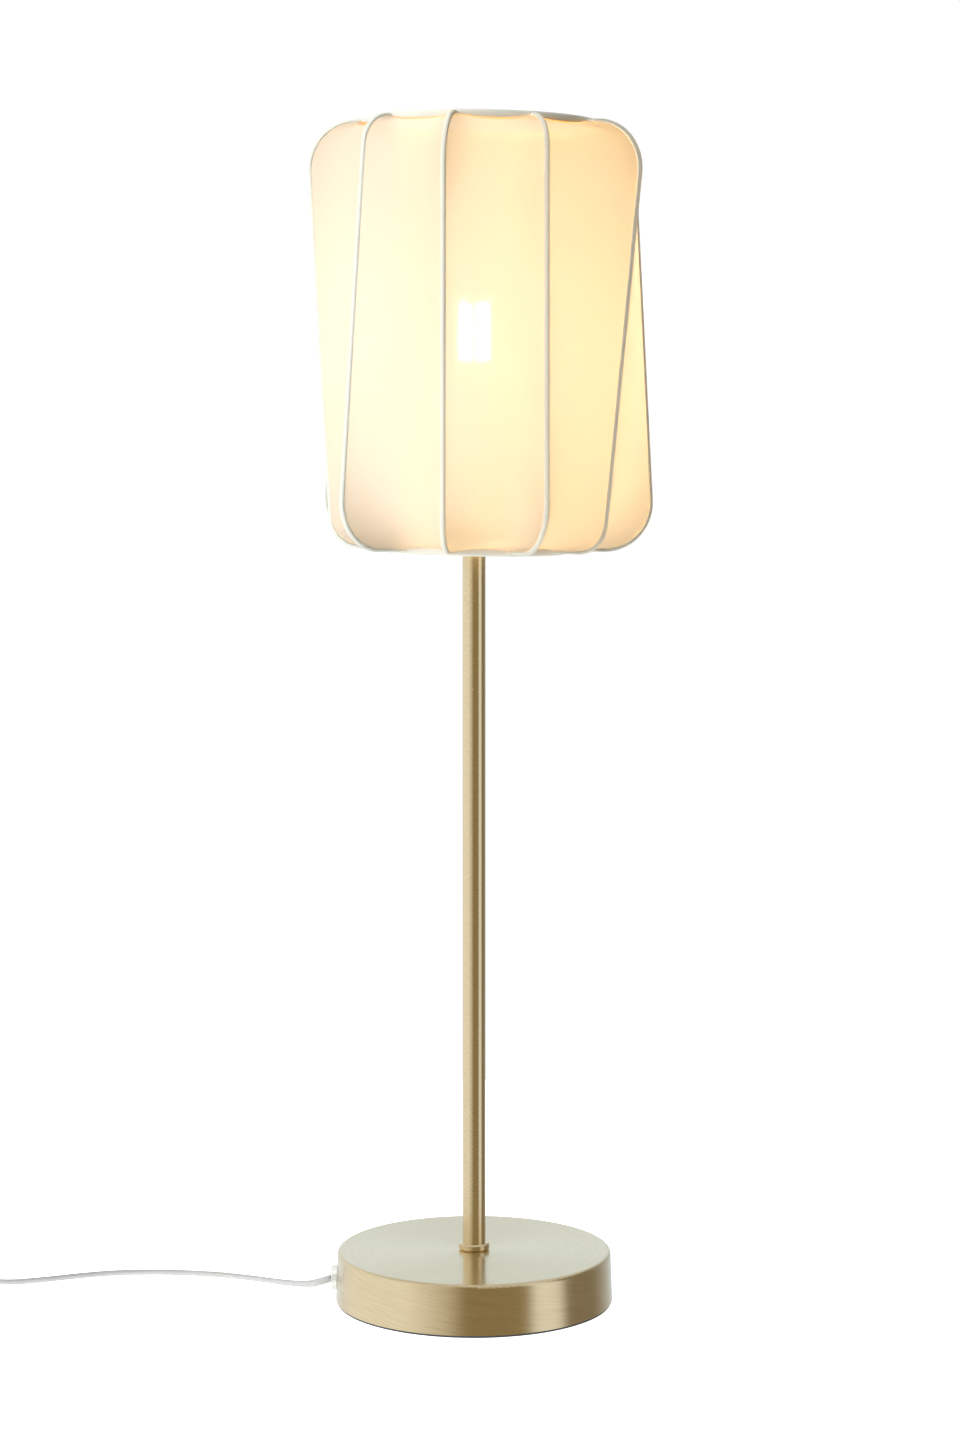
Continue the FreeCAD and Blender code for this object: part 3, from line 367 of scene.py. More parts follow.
def cloth_finish(name, translucency, clear_share, haze, cloth, glow, evenness):
    """Thin knit that lets light through and shows a little of what is behind it, partly blurred.

    It scatters light in its depth, so its shading is evened out: from the lamp's axis for the light
    outside, and from the filaments' middle for the light inside.
    """
    material, nodes = new_material(name)
    place = nodes.add("ShaderNodeTexCoord", output="UV")
    across, along = nodes.axes(place)[:2]
    turns = 2 * math.pi / KNIT_PITCH
    knit = (across * turns).sine() * (along * (0.8 * turns)).sine()
    low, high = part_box("bulb_filaments")
    outwards, even = evened_normal(nodes, evenness, (0, 0, 0), (1, 1, 0))
    inner = evened_normal(nodes, evenness, tuple((low + high) / 2), (1, 1, 1))[1]
    slub = nodes.noise(nodes.stretched(place, (900.0, 60.0, 1.0)), 1.0, 3.0)
    cloud = nodes.noise(nodes.object_place(), 16.0, 2.0)
    tone = nodes.blend(0.5 * slub + 0.5 * cloud, rgba(cloth, 0.94), rgba(cloth))
    skin = nodes.add("ShaderNodeBsdfPrincipled", None, {
        "Base Color": tone, "Roughness": 0.78 + 0.12 * slub, "Sheen Weight": 0.25, "Sheen Roughness": 0.4,
        "Specular IOR Level": 0.2, "Normal": nodes.bump(knit, 0.2, 0.00008, even)})
    through = nodes.add("ShaderNodeBsdfTranslucent", None, {"Color": rgba(glow), "Normal": inner})
    body = nodes.add("ShaderNodeMixShader", None, {0: translucency, 1: skin, 2: through})
    if clear_share:
        # Painted glow: a band along the hem, tinted orange, stands in for the warm light seen through the cloth
        # where it turns over the ring
        band = nodes.add("ShaderNodeMapRange", None, {0: along, 1: FOLD_END, 2: FOLD_FADED, 3: 0.8, 4: 0.0})
        painted_hem_glow = nodes.add("ShaderNodeBsdfTranslucent", None, {"Color": rgba(PAINTED_HEM_GLOW)})
        body = nodes.add("ShaderNodeMixShader", None, {0: band, 1: body, 2: painted_hem_glow})
        holes = nodes.add("ShaderNodeBsdfTransparent", None, {"Color": rgba(WHITE)})
        soft = nodes.add("ShaderNodeBsdfRefraction", {"distribution": "BECKMANN"}, {
            "Color": rgba(WHITE), "Roughness": 0.5, "IOR": 1.1, "Normal": outwards})
        holes = nodes.add("ShaderNodeMixShader", None, {0: haze, 1: holes, 2: soft})
        openness = clear_share * (0.9 + 0.2 * slub)
        body = nodes.add("ShaderNodeMixShader", None, {0: openness, 1: body, 2: holes})
    nodes.surface(body)
    return material


def clear_finish(name, tint, film, rim, roughness, passing):
    """Clear plastic or glass: light passes through it, with gloss on its surface and a denser rim."""
    material, nodes = new_material(name)
    place = nodes.object_place()
    fine = nodes.noise(place, 300.0, 2.0)
    edge = nodes.add("ShaderNodeLayerWeight", None, {"Blend": 0.35}, "Facing")
    skin = nodes.add("ShaderNodeBsdfPrincipled", None, {
        "Base Color": nodes.blend(fine, rgba(tint), rgba(tint, 0.93)),
        "Roughness": roughness * (0.9 + 0.2 * fine), "Coat Weight": 0.6, "Coat Roughness": 0.04,
        "Transmission Weight": passing, "Normal": nodes.bump(fine, 0.1, 0.00005)})
    pass_by = nodes.add("ShaderNodeBsdfTransparent", None, {"Color": rgba(tint)})
    density = film + (rim - film) * edge
    nodes.surface(nodes.add("ShaderNodeMixShader", None, {0: density, 1: pass_by, 2: skin}))
    return material


def lit_finish(name, colour, strength):
    """Glowing filament, with a slight grain in its colour."""
    material, nodes = new_material(name)
    grain = nodes.noise(nodes.object_place(), 700.0, 1.0)
    tone = nodes.blend(grain, rgba(colour), rgba((1.0, 0.9, 0.72)))
    nodes.surface(nodes.add("ShaderNodeBsdfPrincipled", None, {
        "Base Color": tone, "Roughness": 0.5 + 0.2 * grain, "Emission Color": tone,
        "Emission Strength": strength}))
    return material


def dress(material, *names):
    """Gives CAD nodes their finish."""
    for name in names:
        mesh = frame["nodes"][name].data
        mesh.materials.clear()
        mesh.materials.append(material)


def sort_faces(bm):
    """Orders the faces by their vertices, because spin and extrude don't give them in the same order each run."""
    bm.verts.index_update()
    in_order = sorted(bm.faces, key=lambda face: sorted(vert.index for vert in face.verts))
    for i, face in enumerate(in_order):
        face.index = i
    bm.faces.sort()


def make_piece(bm, name, material, body="root"):
    """Turns a bmesh in millimetres into a piece in metres that rides on a body."""
    bmesh.ops.scale(bm, vec=(MM, MM, MM), verts=bm.verts)
    mesh = bpy.data.meshes.new(name)
    bm.to_mesh(mesh)
    bm.free()
    for face in mesh.polygons:
        face.use_smooth = True
    piece = bpy.data.objects.new(name, mesh)
    bpy.context.scene.collection.objects.link(piece)
    mesh.materials.append(material)
    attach(piece, body)
    return piece


def rib_azimuth(index):
    return math.radians(FIRST_RIB + RIB_STEP * index)


def rib_corners(index):
    """Radii of a rib's upper and lower corner."""
    loop = index % len(LOOP_LEANS)
    side = 1 if index % RIB_COUNT < len(LOOP_LEANS) else -1
    shift = LOOP_SHIFTS[loop]
    lean = LOOP_LEANS[loop] / 2
    return RIB_RADIUS + side * (shift + lean), RIB_RADIUS + side * (shift - lean)


def rib_outline(index, offset, reach):
    """Corners (radius, height) and roundings of a rib's outline, offset outwards."""
    upper, lower = rib_corners(index)
    slope = (upper - lower) / (ARM_TOP - ARM_BOTTOM)
    lean = math.atan(slope)
    roundings = []
    for corner, ring, lean_here in ((upper, TOP_RING, lean), (lower, BOTTOM_RING, -lean)):
        wanted = WIDE_CORNER if corner > RIB_RADIUS else TIGHT_CORNER
        room = corner - ring - HEM_REACH - CORNER_ROOM
        roundings.append(min(wanted, room / math.tan((math.pi / 2 + lean_here) / 2)) + offset)
    shift = offset * math.sqrt(1 + slope * slope)
    corners = [(TOP_RING + reach, ARM_TOP + offset),
               (upper + slope * offset + shift, ARM_TOP + offset),
               (lower - slope * offset + shift, ARM_BOTTOM - offset),
               (BOTTOM_RING + reach, ARM_BOTTOM - offset)]
    return [Vector((radius, 0, height)) for radius, height in corners], roundings


def trace(bm, ends, corners, roundings, run_steps, turn_steps):
    """Draws the ends along a rounded outline in the upright plane through X."""
    start = corners[0]
    for i, rounding in enumerate(roundings):
        corner = corners[i + 1]
        before = (corners[i] - corner).normalized()
        after = (corners[i + 2] - corner).normalized()
        opening = before.angle(after)
        enter = corner + before * (rounding / math.tan(opening / 2))
        ends = bmesh.ops.spin(bm, geom=ends, angle=0, steps=run_steps[i], axis=(0, 1, 0), cent=(0, 0, 0),
                              dvec=(enter - start) / run_steps[i])["geom_last"]
        centre = corner + (before + after).normalized() * (rounding / math.sin(opening / 2))
        ends = bmesh.ops.spin(bm, geom=ends, angle=math.pi - opening, steps=turn_steps, axis=(0, 1, 0),
                              cent=centre, dvec=(0, 0, 0))["geom_last"]
        start = corner + after * (rounding / math.tan(opening / 2))
    bmesh.ops.spin(bm, geom=ends, angle=0, steps=run_steps[-1], axis=(0, 1, 0), cent=(0, 0, 0),
                   dvec=(corners[-1] - start) / run_steps[-1])


def turn_to(bm, verts, azimuth):
    """Turns what is drawn in the plane through X to its place round the lamp."""
    turn = Matrix.Rotation(azimuth - math.pi / 2, 3, "Z")
    bmesh.ops.rotate(bm, verts=verts, cent=(0, 0, 0), matrix=turn)


def lean_shade(bm):
    """The whole shade stands slightly aslant on its holder, as in the photo."""
    lean = Matrix.Rotation(math.radians(SHADE_LEAN), 3, "Y")
    bmesh.ops.rotate(bm, verts=bm.verts, cent=LEAN_PIVOT, matrix=lean)


def panel_edge(bm, index, aside, lift):
    """Long edge of a piece of cloth, beside a rib and just outside its wire."""
    corners, roundings = rib_outline(index, lift, CLOTH_REACH)
    known = set(bm.verts)
    seed = bmesh.ops.create_vert(bm, co=corners[0] + Vector((0, aside, 0)))["vert"]
    trace(bm, seed, corners, roundings, CLOTH_RUN_STEPS, CLOTH_CORNER_STEPS)
    line = [vert for vert in bm.verts if vert not in known]
    turn_to(bm, line, rib_azimuth(index))
    return line


def hem_place(place, across):
    """Place on a hem, which curves slightly into the shade between two ribs."""
    high = place.z > (ARM_TOP + ARM_BOTTOM) / 2
    out = Vector((place.x, place.y, 0)).normalized() * ((TOP_RING if high else BOTTOM_RING) + HEM_LIFT)
    sag = 4 * across * (1 - across) * (-SCALLOP_TOP if high else SCALLOP_BOTTOM)
    return out.x, out.y, place.z + sag


def shade_panel(index, settings, material):
    """Cloth between two ribs, drawn tight like a skin on its frame."""
    bm = bmesh.new()
    chart = bm.loops.layers.uv.new("cloth")
    bm.verts.layers.float.new("across")
    bm.verts.layers.float.new("along")
    across = bm.verts.layers.float["across"]
    along = bm.verts.layers.float["along"]
    lift = settings.cloth_lift / MM
    aside = settings.seam_aside / MM
    sides = [panel_edge(bm, index, aside, lift), panel_edge(bm, index + 1, -aside, lift)]
    for side, line in enumerate(sides):
        steps = [(there.co - here.co).length for here, there in zip(line, line[1:])]
        for i, vert in enumerate(line):
            vert[across] = side
            vert[along] = min(sum(steps[:i]), sum(steps[i:]))
    rungs = bmesh.ops.bridge_loops(bm, edges=list(bm.edges))["edges"]
    bmesh.ops.subdivide_edges(bm, edges=rungs, cuts=CLOTH_CUTS, use_grid_fill=True)
    for vert in bm.verts:
        # The hems move, and the long edges stay beside their ribs
        if vert.is_boundary and 0.01 < vert[across] < 0.99:
            vert.co = hem_place(vert.co, vert[across])
    for face in bm.faces:
        for loop in face.loops:
            loop[chart].uv = (MAP_WIDTH * loop.vert[across], MM * loop.vert[along])
    bm.verts.layers.float.remove(bm.verts.layers.float["across"])
    bm.verts.layers.float.remove(bm.verts.layers.float["along"])
    loose = [vert for vert in bm.verts if not vert.is_boundary]
    for _ in range(settings.pull_steps):
        bmesh.ops.smooth_vert(bm, verts=loose, factor=0.5, use_axis_x=True, use_axis_y=True, use_axis_z=True)
    bmesh.ops.recalc_face_normals(bm, faces=bm.faces)
    lean_shade(bm)
    name = "shade_cloth_%02d" % (index + 1)
    piece = make_piece(bm, name, material)
    # The cloth's outer side looks away from the lamp's axis
    middle = piece.data.polygons[len(piece.data.polygons) // 2]
    if middle.normal.dot(Vector((middle.center.x, middle.center.y, 0))) < 0:
        piece.data.flip_normals()
    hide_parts("shade_panel_%02d" % (index + 1))
    return piece


def rib_casing(index, settings, material):
    """Narrow tunnel of cloth sewn round one rib."""
    bm = bmesh.new()
    corners, roundings = rib_outline(index, 0.0, CASING_REACH)
    place = Matrix.Translation(corners[0]) @ Matrix.Rotation(math.pi / 2, 4, "Y")
    ring = bmesh.ops.create_circle(bm, segments=16, radius=settings.casing_radius / MM, cap_ends=False,
                                   matrix=place)["verts"]
    trace(bm, list(bm.edges) + ring, corners, roundings, CASING_RUN_STEPS, CASING_CORNER_STEPS)
    bmesh.ops.holes_fill(bm, edges=[edge for edge in bm.edges if edge.is_boundary], sides=0)
    bmesh.ops.recalc_face_normals(bm, faces=bm.faces)
    sort_faces(bm)
    turn_to(bm, bm.verts, rib_azimuth(index))
    lean_shade(bm)
    return make_piece(bm, "rib_casing_%02d" % (index + 1), material)


def ring_hem(name, radius, height, settings, material):
    """Oval sleeve of cloth round a ring's wire."""
    bm = bmesh.new()
    oval = bmesh.ops.create_circle(bm, segments=20, radius=1.0, cap_ends=False,
                                   matrix=Matrix.Rotation(math.pi / 2, 4, "X"))["verts"]
    bmesh.ops.scale(bm, vec=(settings.hem_width / MM / 2, 1, settings.hem_height / MM / 2), verts=oval)
    bmesh.ops.translate(bm, vec=(radius, 0, height), verts=oval)
    bmesh.ops.spin(bm, geom=list(bm.edges) + oval, angle=2 * math.pi, steps=160, axis=(0, 0, 1),
                   cent=(0, 0, 0), dvec=(0, 0, 0), use_merge=True)
    bmesh.ops.recalc_face_normals(bm, faces=bm.faces)
    sort_faces(bm)
    lean_shade(bm)
    return make_piece(bm, name, material)


def rod(bm, start, end, radius, sides, rounding=0.0):
    """Round rod between two points, with its ends rounded off."""
    along = end - start
    place = Matrix.Translation((start + end) / 2) @ along.to_track_quat("Z", "Y").to_matrix().to_4x4()
    known = set(bm.edges)
    bmesh.ops.create_cone(bm, cap_ends=True, segments=sides, radius1=radius, radius2=radius,
                          depth=along.length, matrix=place)
    if rounding:
        rims = [edge for edge in bm.edges
                if edge not in known and any(len(face.verts) > 4 for face in edge.link_faces)]
        bmesh.ops.bevel(bm, geom=rims, offset=rounding, segments=3, profile=0.5, affect="EDGES", material=-1)


def turned(bm, outline, steps):
    """Outline of radii and heights, turned round the bulb's axis."""
    verts = [bmesh.ops.create_vert(bm, co=(radius, 0, height))["vert"][0] for radius, height in outline]
    edges = [bm.edges.new(pair) for pair in zip(verts, verts[1:])]
    bmesh.ops.spin(bm, geom=verts + edges, angle=2 * math.pi, steps=steps, axis=(0, 0, 1), cent=(0, 0, 0),
                   dvec=(0, 0, 0), use_merge=True)
    bmesh.ops.remove_doubles(bm, verts=bm.verts, dist=0.0005)
    bmesh.ops.recalc_face_normals(bm, faces=bm.faces)
    sort_faces(bm)


def filament_ends(index, low, high):
    """Foot and top of a filament, at the given heights."""
    azimuth = math.radians(FILAMENT_TURN + 360 / FILAMENT_COUNT * index)
    aim = Vector((math.cos(azimuth), math.sin(azimuth), 0))
    return FILAMENT_FOOT * aim + Vector((0, 0, low)), FILAMENT_TOP * aim + Vector((0, 0, high))


def route_curve(name, points):
    """Smooth line through given points."""
    curve = bpy.data.curves.new(name, "CURVE")
    curve.dimensions = "3D"
    spline = curve.splines.new("NURBS")
    spline.points.add(len(points) - 1)
    for point, place in zip(spline.points, points):
        point.co = (*(MM * value for value in place), 1)
    spline.order_u = 3
    spline.use_endpoint_u = True
    spline.resolution_u = 6
    line = bpy.data.objects.new(name, curve)
    bpy.context.scene.collection.objects.link(line)
    shape = bpy.data.meshes.new_from_object(line)
    places = [vert.co.copy() for vert in shape.vertices]
    bpy.data.meshes.remove(shape)
    bpy.data.objects.remove(line)
    return places


def swept(name, places, profile, material, twist):
    """A flat profile (sideways, upwards in millimetres) drawn along the places of a route.

    The twist, in degrees, is that at the start and that further on.
    """
    bm = bmesh.new()
    loop = [bm.verts.new((0, y, z)) for y, z in profile]
    edges = [bm.edges.new((loop[i], loop[(i + 1) % len(loop)])) for i in range(len(loop))]
    homes = []
    for i, place in enumerate(places):
        ahead = places[min(i + 1, len(places) - 1)] - places[max(i - 1, 0)]
        ahead.normalize()
        share = max(0.0, 1 - (place - places[0]).length / TWIST_FADE) ** 2
        turn = Matrix.Rotation(math.radians(twist[1] + (twist[0] - twist[1]) * share), 3, ahead)
        sideways = turn @ Vector((0, 0, 1)).cross(ahead).normalized()
        upwards = ahead.cross(sideways)
        if i:
            grown = bmesh.ops.extrude_edge_only(bm, edges=edges)["geom"]
            loop = [item for item in grown if isinstance(item, bmesh.types.BMVert)]
            edges = [item for item in grown if isinstance(item, bmesh.types.BMEdge)
                     and all(vert in loop for vert in item.verts)]
        homes += [(vert, place / MM, sideways, upwards) for vert in loop]
    for vert, place, sideways, upwards in homes:
        vert.co = place + sideways * vert.co.y + upwards * vert.co.z
    bmesh.ops.holes_fill(bm, edges=[edge for edge in bm.edges if edge.is_boundary], sides=0)
    bmesh.ops.recalc_face_normals(bm, faces=bm.faces)
    sort_faces(bm)
    return make_piece(bm, name, material)


def twin_profile(width, thickness, count=10):
    """Two round wires side by side, grown together."""
    half = thickness / 2
    spread = width / 2 - half
    angles = [math.radians(-75 + 150 * i / (count - 1)) for i in range(count)]
    right = [(spread + half * math.cos(angle), half * math.sin(angle)) for angle in angles]
    return right + [(-y, -z) for y, z in right]


def round_profile(radius, shift, count=8):
    """One round wire, shifted sideways."""
    angles = [2 * math.pi * i / count for i in range(count)]
    return [(shift + radius * math.cos(angle), radius * math.sin(angle)) for angle in angles]


def coil_place(start, step, radius, height):
    """Place on the lead's coil, by steps clockwise from an azimuth."""
    angle = math.radians(start) - 2 * math.pi * step / COIL_STEPS
    return COIL_MIDDLE + Vector((radius * math.cos(angle), radius * math.sin(angle), height))


def coil_points():
    """From the switch, round the coil inwards on the table and outwards on top, to the plug."""
    steps = COIL_TURNS * COIL_STEPS
    width = COIL_OUTSIDE - COIL_INSIDE
    climb = (COIL_HIGH - COIL_LOW) / (COIL_STEPS / 2)
    points = [Vector(point) for point in SWITCH_TO_COIL]
    points += [coil_place(-90, step, COIL_OUTSIDE - width * step / steps, COIL_LOW)
               for step in range(steps + 1)]
    points += [coil_place(-90, step, COIL_INSIDE, COIL_LOW + climb * step)
               for step in range(1, COIL_STEPS // 2)]
    points += [coil_place(90, step, COIL_INSIDE + width * step / steps, COIL_HIGH)
               for step in range(steps + 1)]
    return points + [Vector(point) for point in COIL_TO_PLUG]


class LampStageSettings(PropertyGroup):
    lens: FloatProperty(name="Lens", description="Focal length of the camera", default=79.87, unit="CAMERA")
    floor_reach: FloatProperty(name="Floor", description="Radius of the round floor", default=0.75,
                               unit="LENGTH")
    overhead: FloatProperty(name="Overhead light", description="Brightness of the studio above", default=0.7)
    around: FloatProperty(name="Studio", description="Brightness of the studio round the lamp", default=1.0)
    key: FloatProperty(name="Side light", description="Power of the soft light at the left", default=49.0,
                       unit="POWER")
    front: FloatProperty(name="Front light", description="Power of the soft light behind the camera",
                         default=8.0, unit="POWER")
    back: FloatProperty(name="Back light", description="Power of the soft light behind the lamp",
                        default=16.0, unit="POWER")
    top: FloatProperty(name="Top light", description="Power of the soft light above", default=38.0,
                       unit="POWER")


class LampShadeSettings(PropertyGroup):
    casing_radius: FloatProperty(name="Casing radius", description="Radius of the cloth tunnel on a rib",
                                 default=0.0018, unit="LENGTH")
    hem_width: FloatProperty(name="Hem width", description="Width of the sleeve on a ring", default=0.0046,
                             unit="LENGTH")
    hem_height: FloatProperty(name="Hem height", description="Height of the sleeve on a ring",
                              default=0.0066, unit="LENGTH")
    seam_aside: FloatProperty(name="Seam", description="Distance of a panel's edge from its rib",
                              default=0.001, unit="LENGTH")
    cloth_lift: FloatProperty(name="Cloth lift", description="How far outside the wire the cloth lies",
                              default=0.0003, unit="LENGTH")
    pull_steps: IntProperty(name="Pull", description="Steps in which the cloth is drawn tight", default=260)
    translucency: FloatProperty(name="Translucency", description="Share of light that the cloth lets through",
                                default=0.4, min=0, max=1)
    clear_share: FloatProperty(name="Open share", description="Share of the cloth that is holes of its knit",
                               default=0.16, min=0, max=1)
    haze: FloatProperty(name="Haze", description="Share of the open part that blurs what is behind it",
                        default=0.5, min=0, max=1)
    evenness: FloatProperty(name="Evenness", description="How far the cloth's depth evens out its shading",
                            default=0.86, min=0, max=1)
    cloth: FloatVectorProperty(name="Cloth", description="Colour of the cloth", subtype="COLOR",
                               default=(0.86, 0.84, 0.80))
    glow: FloatVectorProperty(name="Glow", description="Colour of light through the cloth", subtype="COLOR",
                              default=(0.98, 0.88, 0.70))
    casing: FloatVectorProperty(name="Casing", description="Colour of the casings and hems", subtype="COLOR",
                                default=(0.89, 0.91, 0.83))


class LampBulbSettings(PropertyGroup):
    power: FloatProperty(name="Power", description="Strength of the light inside the bulb", default=0.45,
                         unit="POWER")
    light: FloatVectorProperty(name="Light", description="Colour of the bulb's light", subtype="COLOR",
                               default=(1.0, 0.64, 0.26))
    even: FloatProperty(name="Evenness", description="Strength of the light that reaches all the cloth alike",
                        default=35.0)
    side: FloatProperty(name="Side glow", description="Power of the warm light on the shade's right half",
                        default=0.31, unit="POWER")
    filament: FloatProperty(name="Filaments", description="Brightness of the filaments", default=58.0)


class LampStandSettings(PropertyGroup):
    brass: FloatVectorProperty(name="Brass", description="Colour of the brass", subtype="COLOR",
                               default=(0.79, 0.67, 0.43))
    brass_shade: FloatVectorProperty(name="Brass, dark", description="Colour in the brushing's marks",
                                     subtype="COLOR", default=(0.68, 0.56, 0.34))
    brush_gloss: FloatProperty(name="Roughness", description="Roughness of the brushed brass", default=0.26)
    brush_spread: FloatProperty(name="Brushing", description="How far the brushing draws out reflections",
                                default=0.75, min=0, max=1)
    lacquer: FloatProperty(name="Lacquer", description="Weight of the clear lacquer", default=0.62,
                           min=0, max=1)


class LampLeadSettings(PropertyGroup):
    width: FloatProperty(name="Width", description="Width of the flat lead", default=0.0054, unit="LENGTH")
    thickness: FloatProperty(name="Thickness", description="Thickness of the flat lead", default=0.0027,
                             unit="LENGTH")
    strand: FloatProperty(name="Strand", description="Radius of the metal strand in each half",
                          default=0.00055, unit="LENGTH")


class LAMP_OT_stage(Operator):
    """Sets up the camera, the pale floor and the soft studio light"""
    bl_idname = "lamp.stage"
    bl_label = "Stage"

    def execute(self, context):
        settings = context.scene.lamp_stage
        self.camera(context, settings)
        self.floor(context, settings)
        self.studio(context, settings)
        for name, place, aim, size, power in SOFTBOXES:
            self.softbox(context, name, place, aim, size, getattr(settings, power))
        return {"FINISHED"}

    def camera(self, context, settings):
        """The photo's view, slightly from above."""
        camera = bpy.data.cameras.new("camera")
        camera.lens = settings.lens
        camera.sensor_fit = "VERTICAL"
        camera.sensor_height = 36
        camera.clip_end = 60
        view = bpy.data.objects.new("camera", camera)
        view.location = CAMERA_PLACE
        view.rotation_euler = (math.radians(90 - CAMERA_DIP), 0, 0)
        context.scene.collection.objects.link(view)
        context.scene.camera = view
        context.scene.view_settings.view_transform = "Standard"

    def floor(self, context, settings):
        """Round white floor that the brass doesn't mirror."""
        bm = bmesh.new()
        bmesh.ops.create_circle(bm, cap_ends=True, segments=96, radius=settings.floor_reach,
                                matrix=Matrix.Translation((0, 0, FLOOR_HEIGHT)))
        mesh = bpy.data.meshes.new("floor")
        bm.to_mesh(mesh)
        bm.free()
        floor = bpy.data.objects.new("floor", mesh)
        context.scene.collection.objects.link(floor)
        material, nodes = new_material("pale_floor")
        grain = nodes.noise(nodes.object_place(), 40.0, 3.0)
        tone = nodes.blend(grain, (0.93, 0.93, 0.93, 1), (0.95, 0.95, 0.95, 1))
        nodes.surface(nodes.add("ShaderNodeBsdfPrincipled", None, {
            "Base Color": tone, "Roughness": 0.9, "Specular IOR Level": 0.0, "Emission Color": tone,
            "Emission Strength": FLOOR_GLOW}))
        mesh.materials.append(material)
        floor.visible_glossy = False

    def studio(self, context, settings):
        """White in front of the camera, and for the lamp a studio of lit and dark walls."""
        world = bpy.data.worlds.new("studio")
        world.use_nodes = True
        world.cycles_visibility.diffuse = False
        context.scene.world = world
        nodes = Nodes(world.node_tree)
        place = nodes.add("ShaderNodeTexCoord", output="Generated")
        x, y, z = nodes.axes(place)
        share = x.angle_from(0 - y) / (2 * math.pi) + 0.5
        walls = nodes.add("ShaderNodeValToRGB", {"stops": WALLS}, {0: share})
        high = nodes.add("ShaderNodeMapRange", {"interpolation_type": "SMOOTHSTEP"},
                         {0: z, 1: OVERHEAD_START, 2: OVERHEAD_FULL, 3: 0.0, 4: 1.0})
        strength = settings.around * (1.0 - high) + settings.overhead * high
        tone = nodes.blend(high, walls, rgba(WHITE))
        studio = nodes.add("ShaderNodeBackground", None, {"Color": tone, "Strength": strength})
        sheet = nodes.add("ShaderNodeBackground", None, {"Color": rgba(WHITE), "Strength": BACKDROP_GLOW})
        seen = nodes.add("ShaderNodeLightPath", output="Is Camera Ray")
        both = nodes.add("ShaderNodeMixShader", None, {0: seen, 1: studio, 2: sheet})
        nodes.add("ShaderNodeOutputWorld", None, {"Surface": both})

    def softbox(self, context, name, place, aim, size, power):
        """Wide soft light that the brass doesn't mirror."""
        light = bpy.data.lights.new(name, "AREA")
        light.shape = "RECTANGLE"
        light.size, light.size_y = size
        light.energy = power
        box = bpy.data.objects.new(name, light)
        box.location = place
        box.rotation_euler = (Vector(aim) - Vector(place)).to_track_quat("-Z", "Y").to_euler()
        box.visible_glossy = False
        box.visible_camera = False
        context.scene.collection.objects.link(box)


class LAMP_OT_lead(Operator):
    """Lays the clear flat lead from the bush to the switch and on to its coil and plug"""
    bl_idname = "lamp.lead"
    bl_label = "Lead"

    def execute(self, context):
        settings = context.scene.lamp_lead
        sheath = clear_finish("clear_sheath", (0.42, 0.43, 0.42), film=0.92, rim=0.98, roughness=0.25,
                              passing=0.0)
        strand = plain_finish("tinned_strand", (0.80, 0.79, 0.76), 0.4, 0.8, 2500.0, 0.00005)
        switch = [frame["nodes"][name] for name in
                  ("switch_base", "switch_cover", "switch_rocker", "switch_contacts", "switch_screws")]
        plug = [frame["nodes"][name] for name in ("plug_body", "plug_pins")]
        run = route_curve("lead_route", LEAD_RUN)
        coil = route_curve("coil_route", coil_points())
        flat = twin_profile(settings.width / MM, settings.thickness / MM)
        apart = (settings.width - settings.thickness) / 2 / MM
        for name, places, far_end, lay, ends, twist in (
                ("lead_run", run, "fitting", "loose", switch, RUN_TWIST),
                ("lead_coil", coil, "plug", "coiled", plug, (0, 0))):
            outer = swept(name + "_sheath", places, flat, sheath, twist)
            for side, shift in (("left", -apart), ("right", apart)):
                core = round_profile(settings.strand / MM, shift)
                swept(name + "_strand_" + side, places, core, strand, twist)
            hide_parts(name)
            length = sum((b - a).length for a, b in zip(places, places[1:]))
        return {"FINISHED"}


class LAMP_OT_shade(Operator):
    """Stretches the cloth over the ribs and sews its casings and hems"""
    bl_idname = "lamp.shade"
    bl_label = "Shade"

    def execute(self, context):
        settings = context.scene.lamp_shade
        cloth = cloth_finish("shade_knit", settings.translucency, settings.clear_share, settings.haze,
                             settings.cloth, settings.glow, settings.evenness)
        doubled = cloth_finish("shade_casing", translucency=0.14, clear_share=0.0, haze=0.0,
                               cloth=settings.casing, glow=(0.8, 0.76, 0.62), evenness=0.5)
        casings = [rib_casing(index, settings, doubled) for index in range(RIB_COUNT)]
        for casing in casings:
            casing.visible_shadow = False
        # The hems take the casings' colour darkened to nine tenths: painted shade that tones them down against
        # the strong side light
        folded = cloth_finish("shade_hem", translucency=0.03, clear_share=0.0, haze=0.0,
                              cloth=rgba(settings.casing, 0.9)[:3], glow=(0.8, 0.72, 0.55), evenness=0.3)
        hems = [ring_hem("hem_top", TOP_RING, ARM_TOP, settings, folded),
                ring_hem("hem_bottom", BOTTOM_RING, ARM_BOTTOM, settings, folded)]
        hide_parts("shade_binding")
        for index in range(RIB_COUNT):
            panel = shade_panel(index, settings, cloth)
        white = plain_finish("white_powder_coat", (0.83, 0.83, 0.80), 0.42, 0.0, 1400.0, 0.00003)
        dress(white, "shade_spider", "shade_top_ring", "shade_bottom_ring",
              *("shade_rib_%02d" % (index + 1) for index in range(RIB_COUNT)))
        return {"FINISHED"}


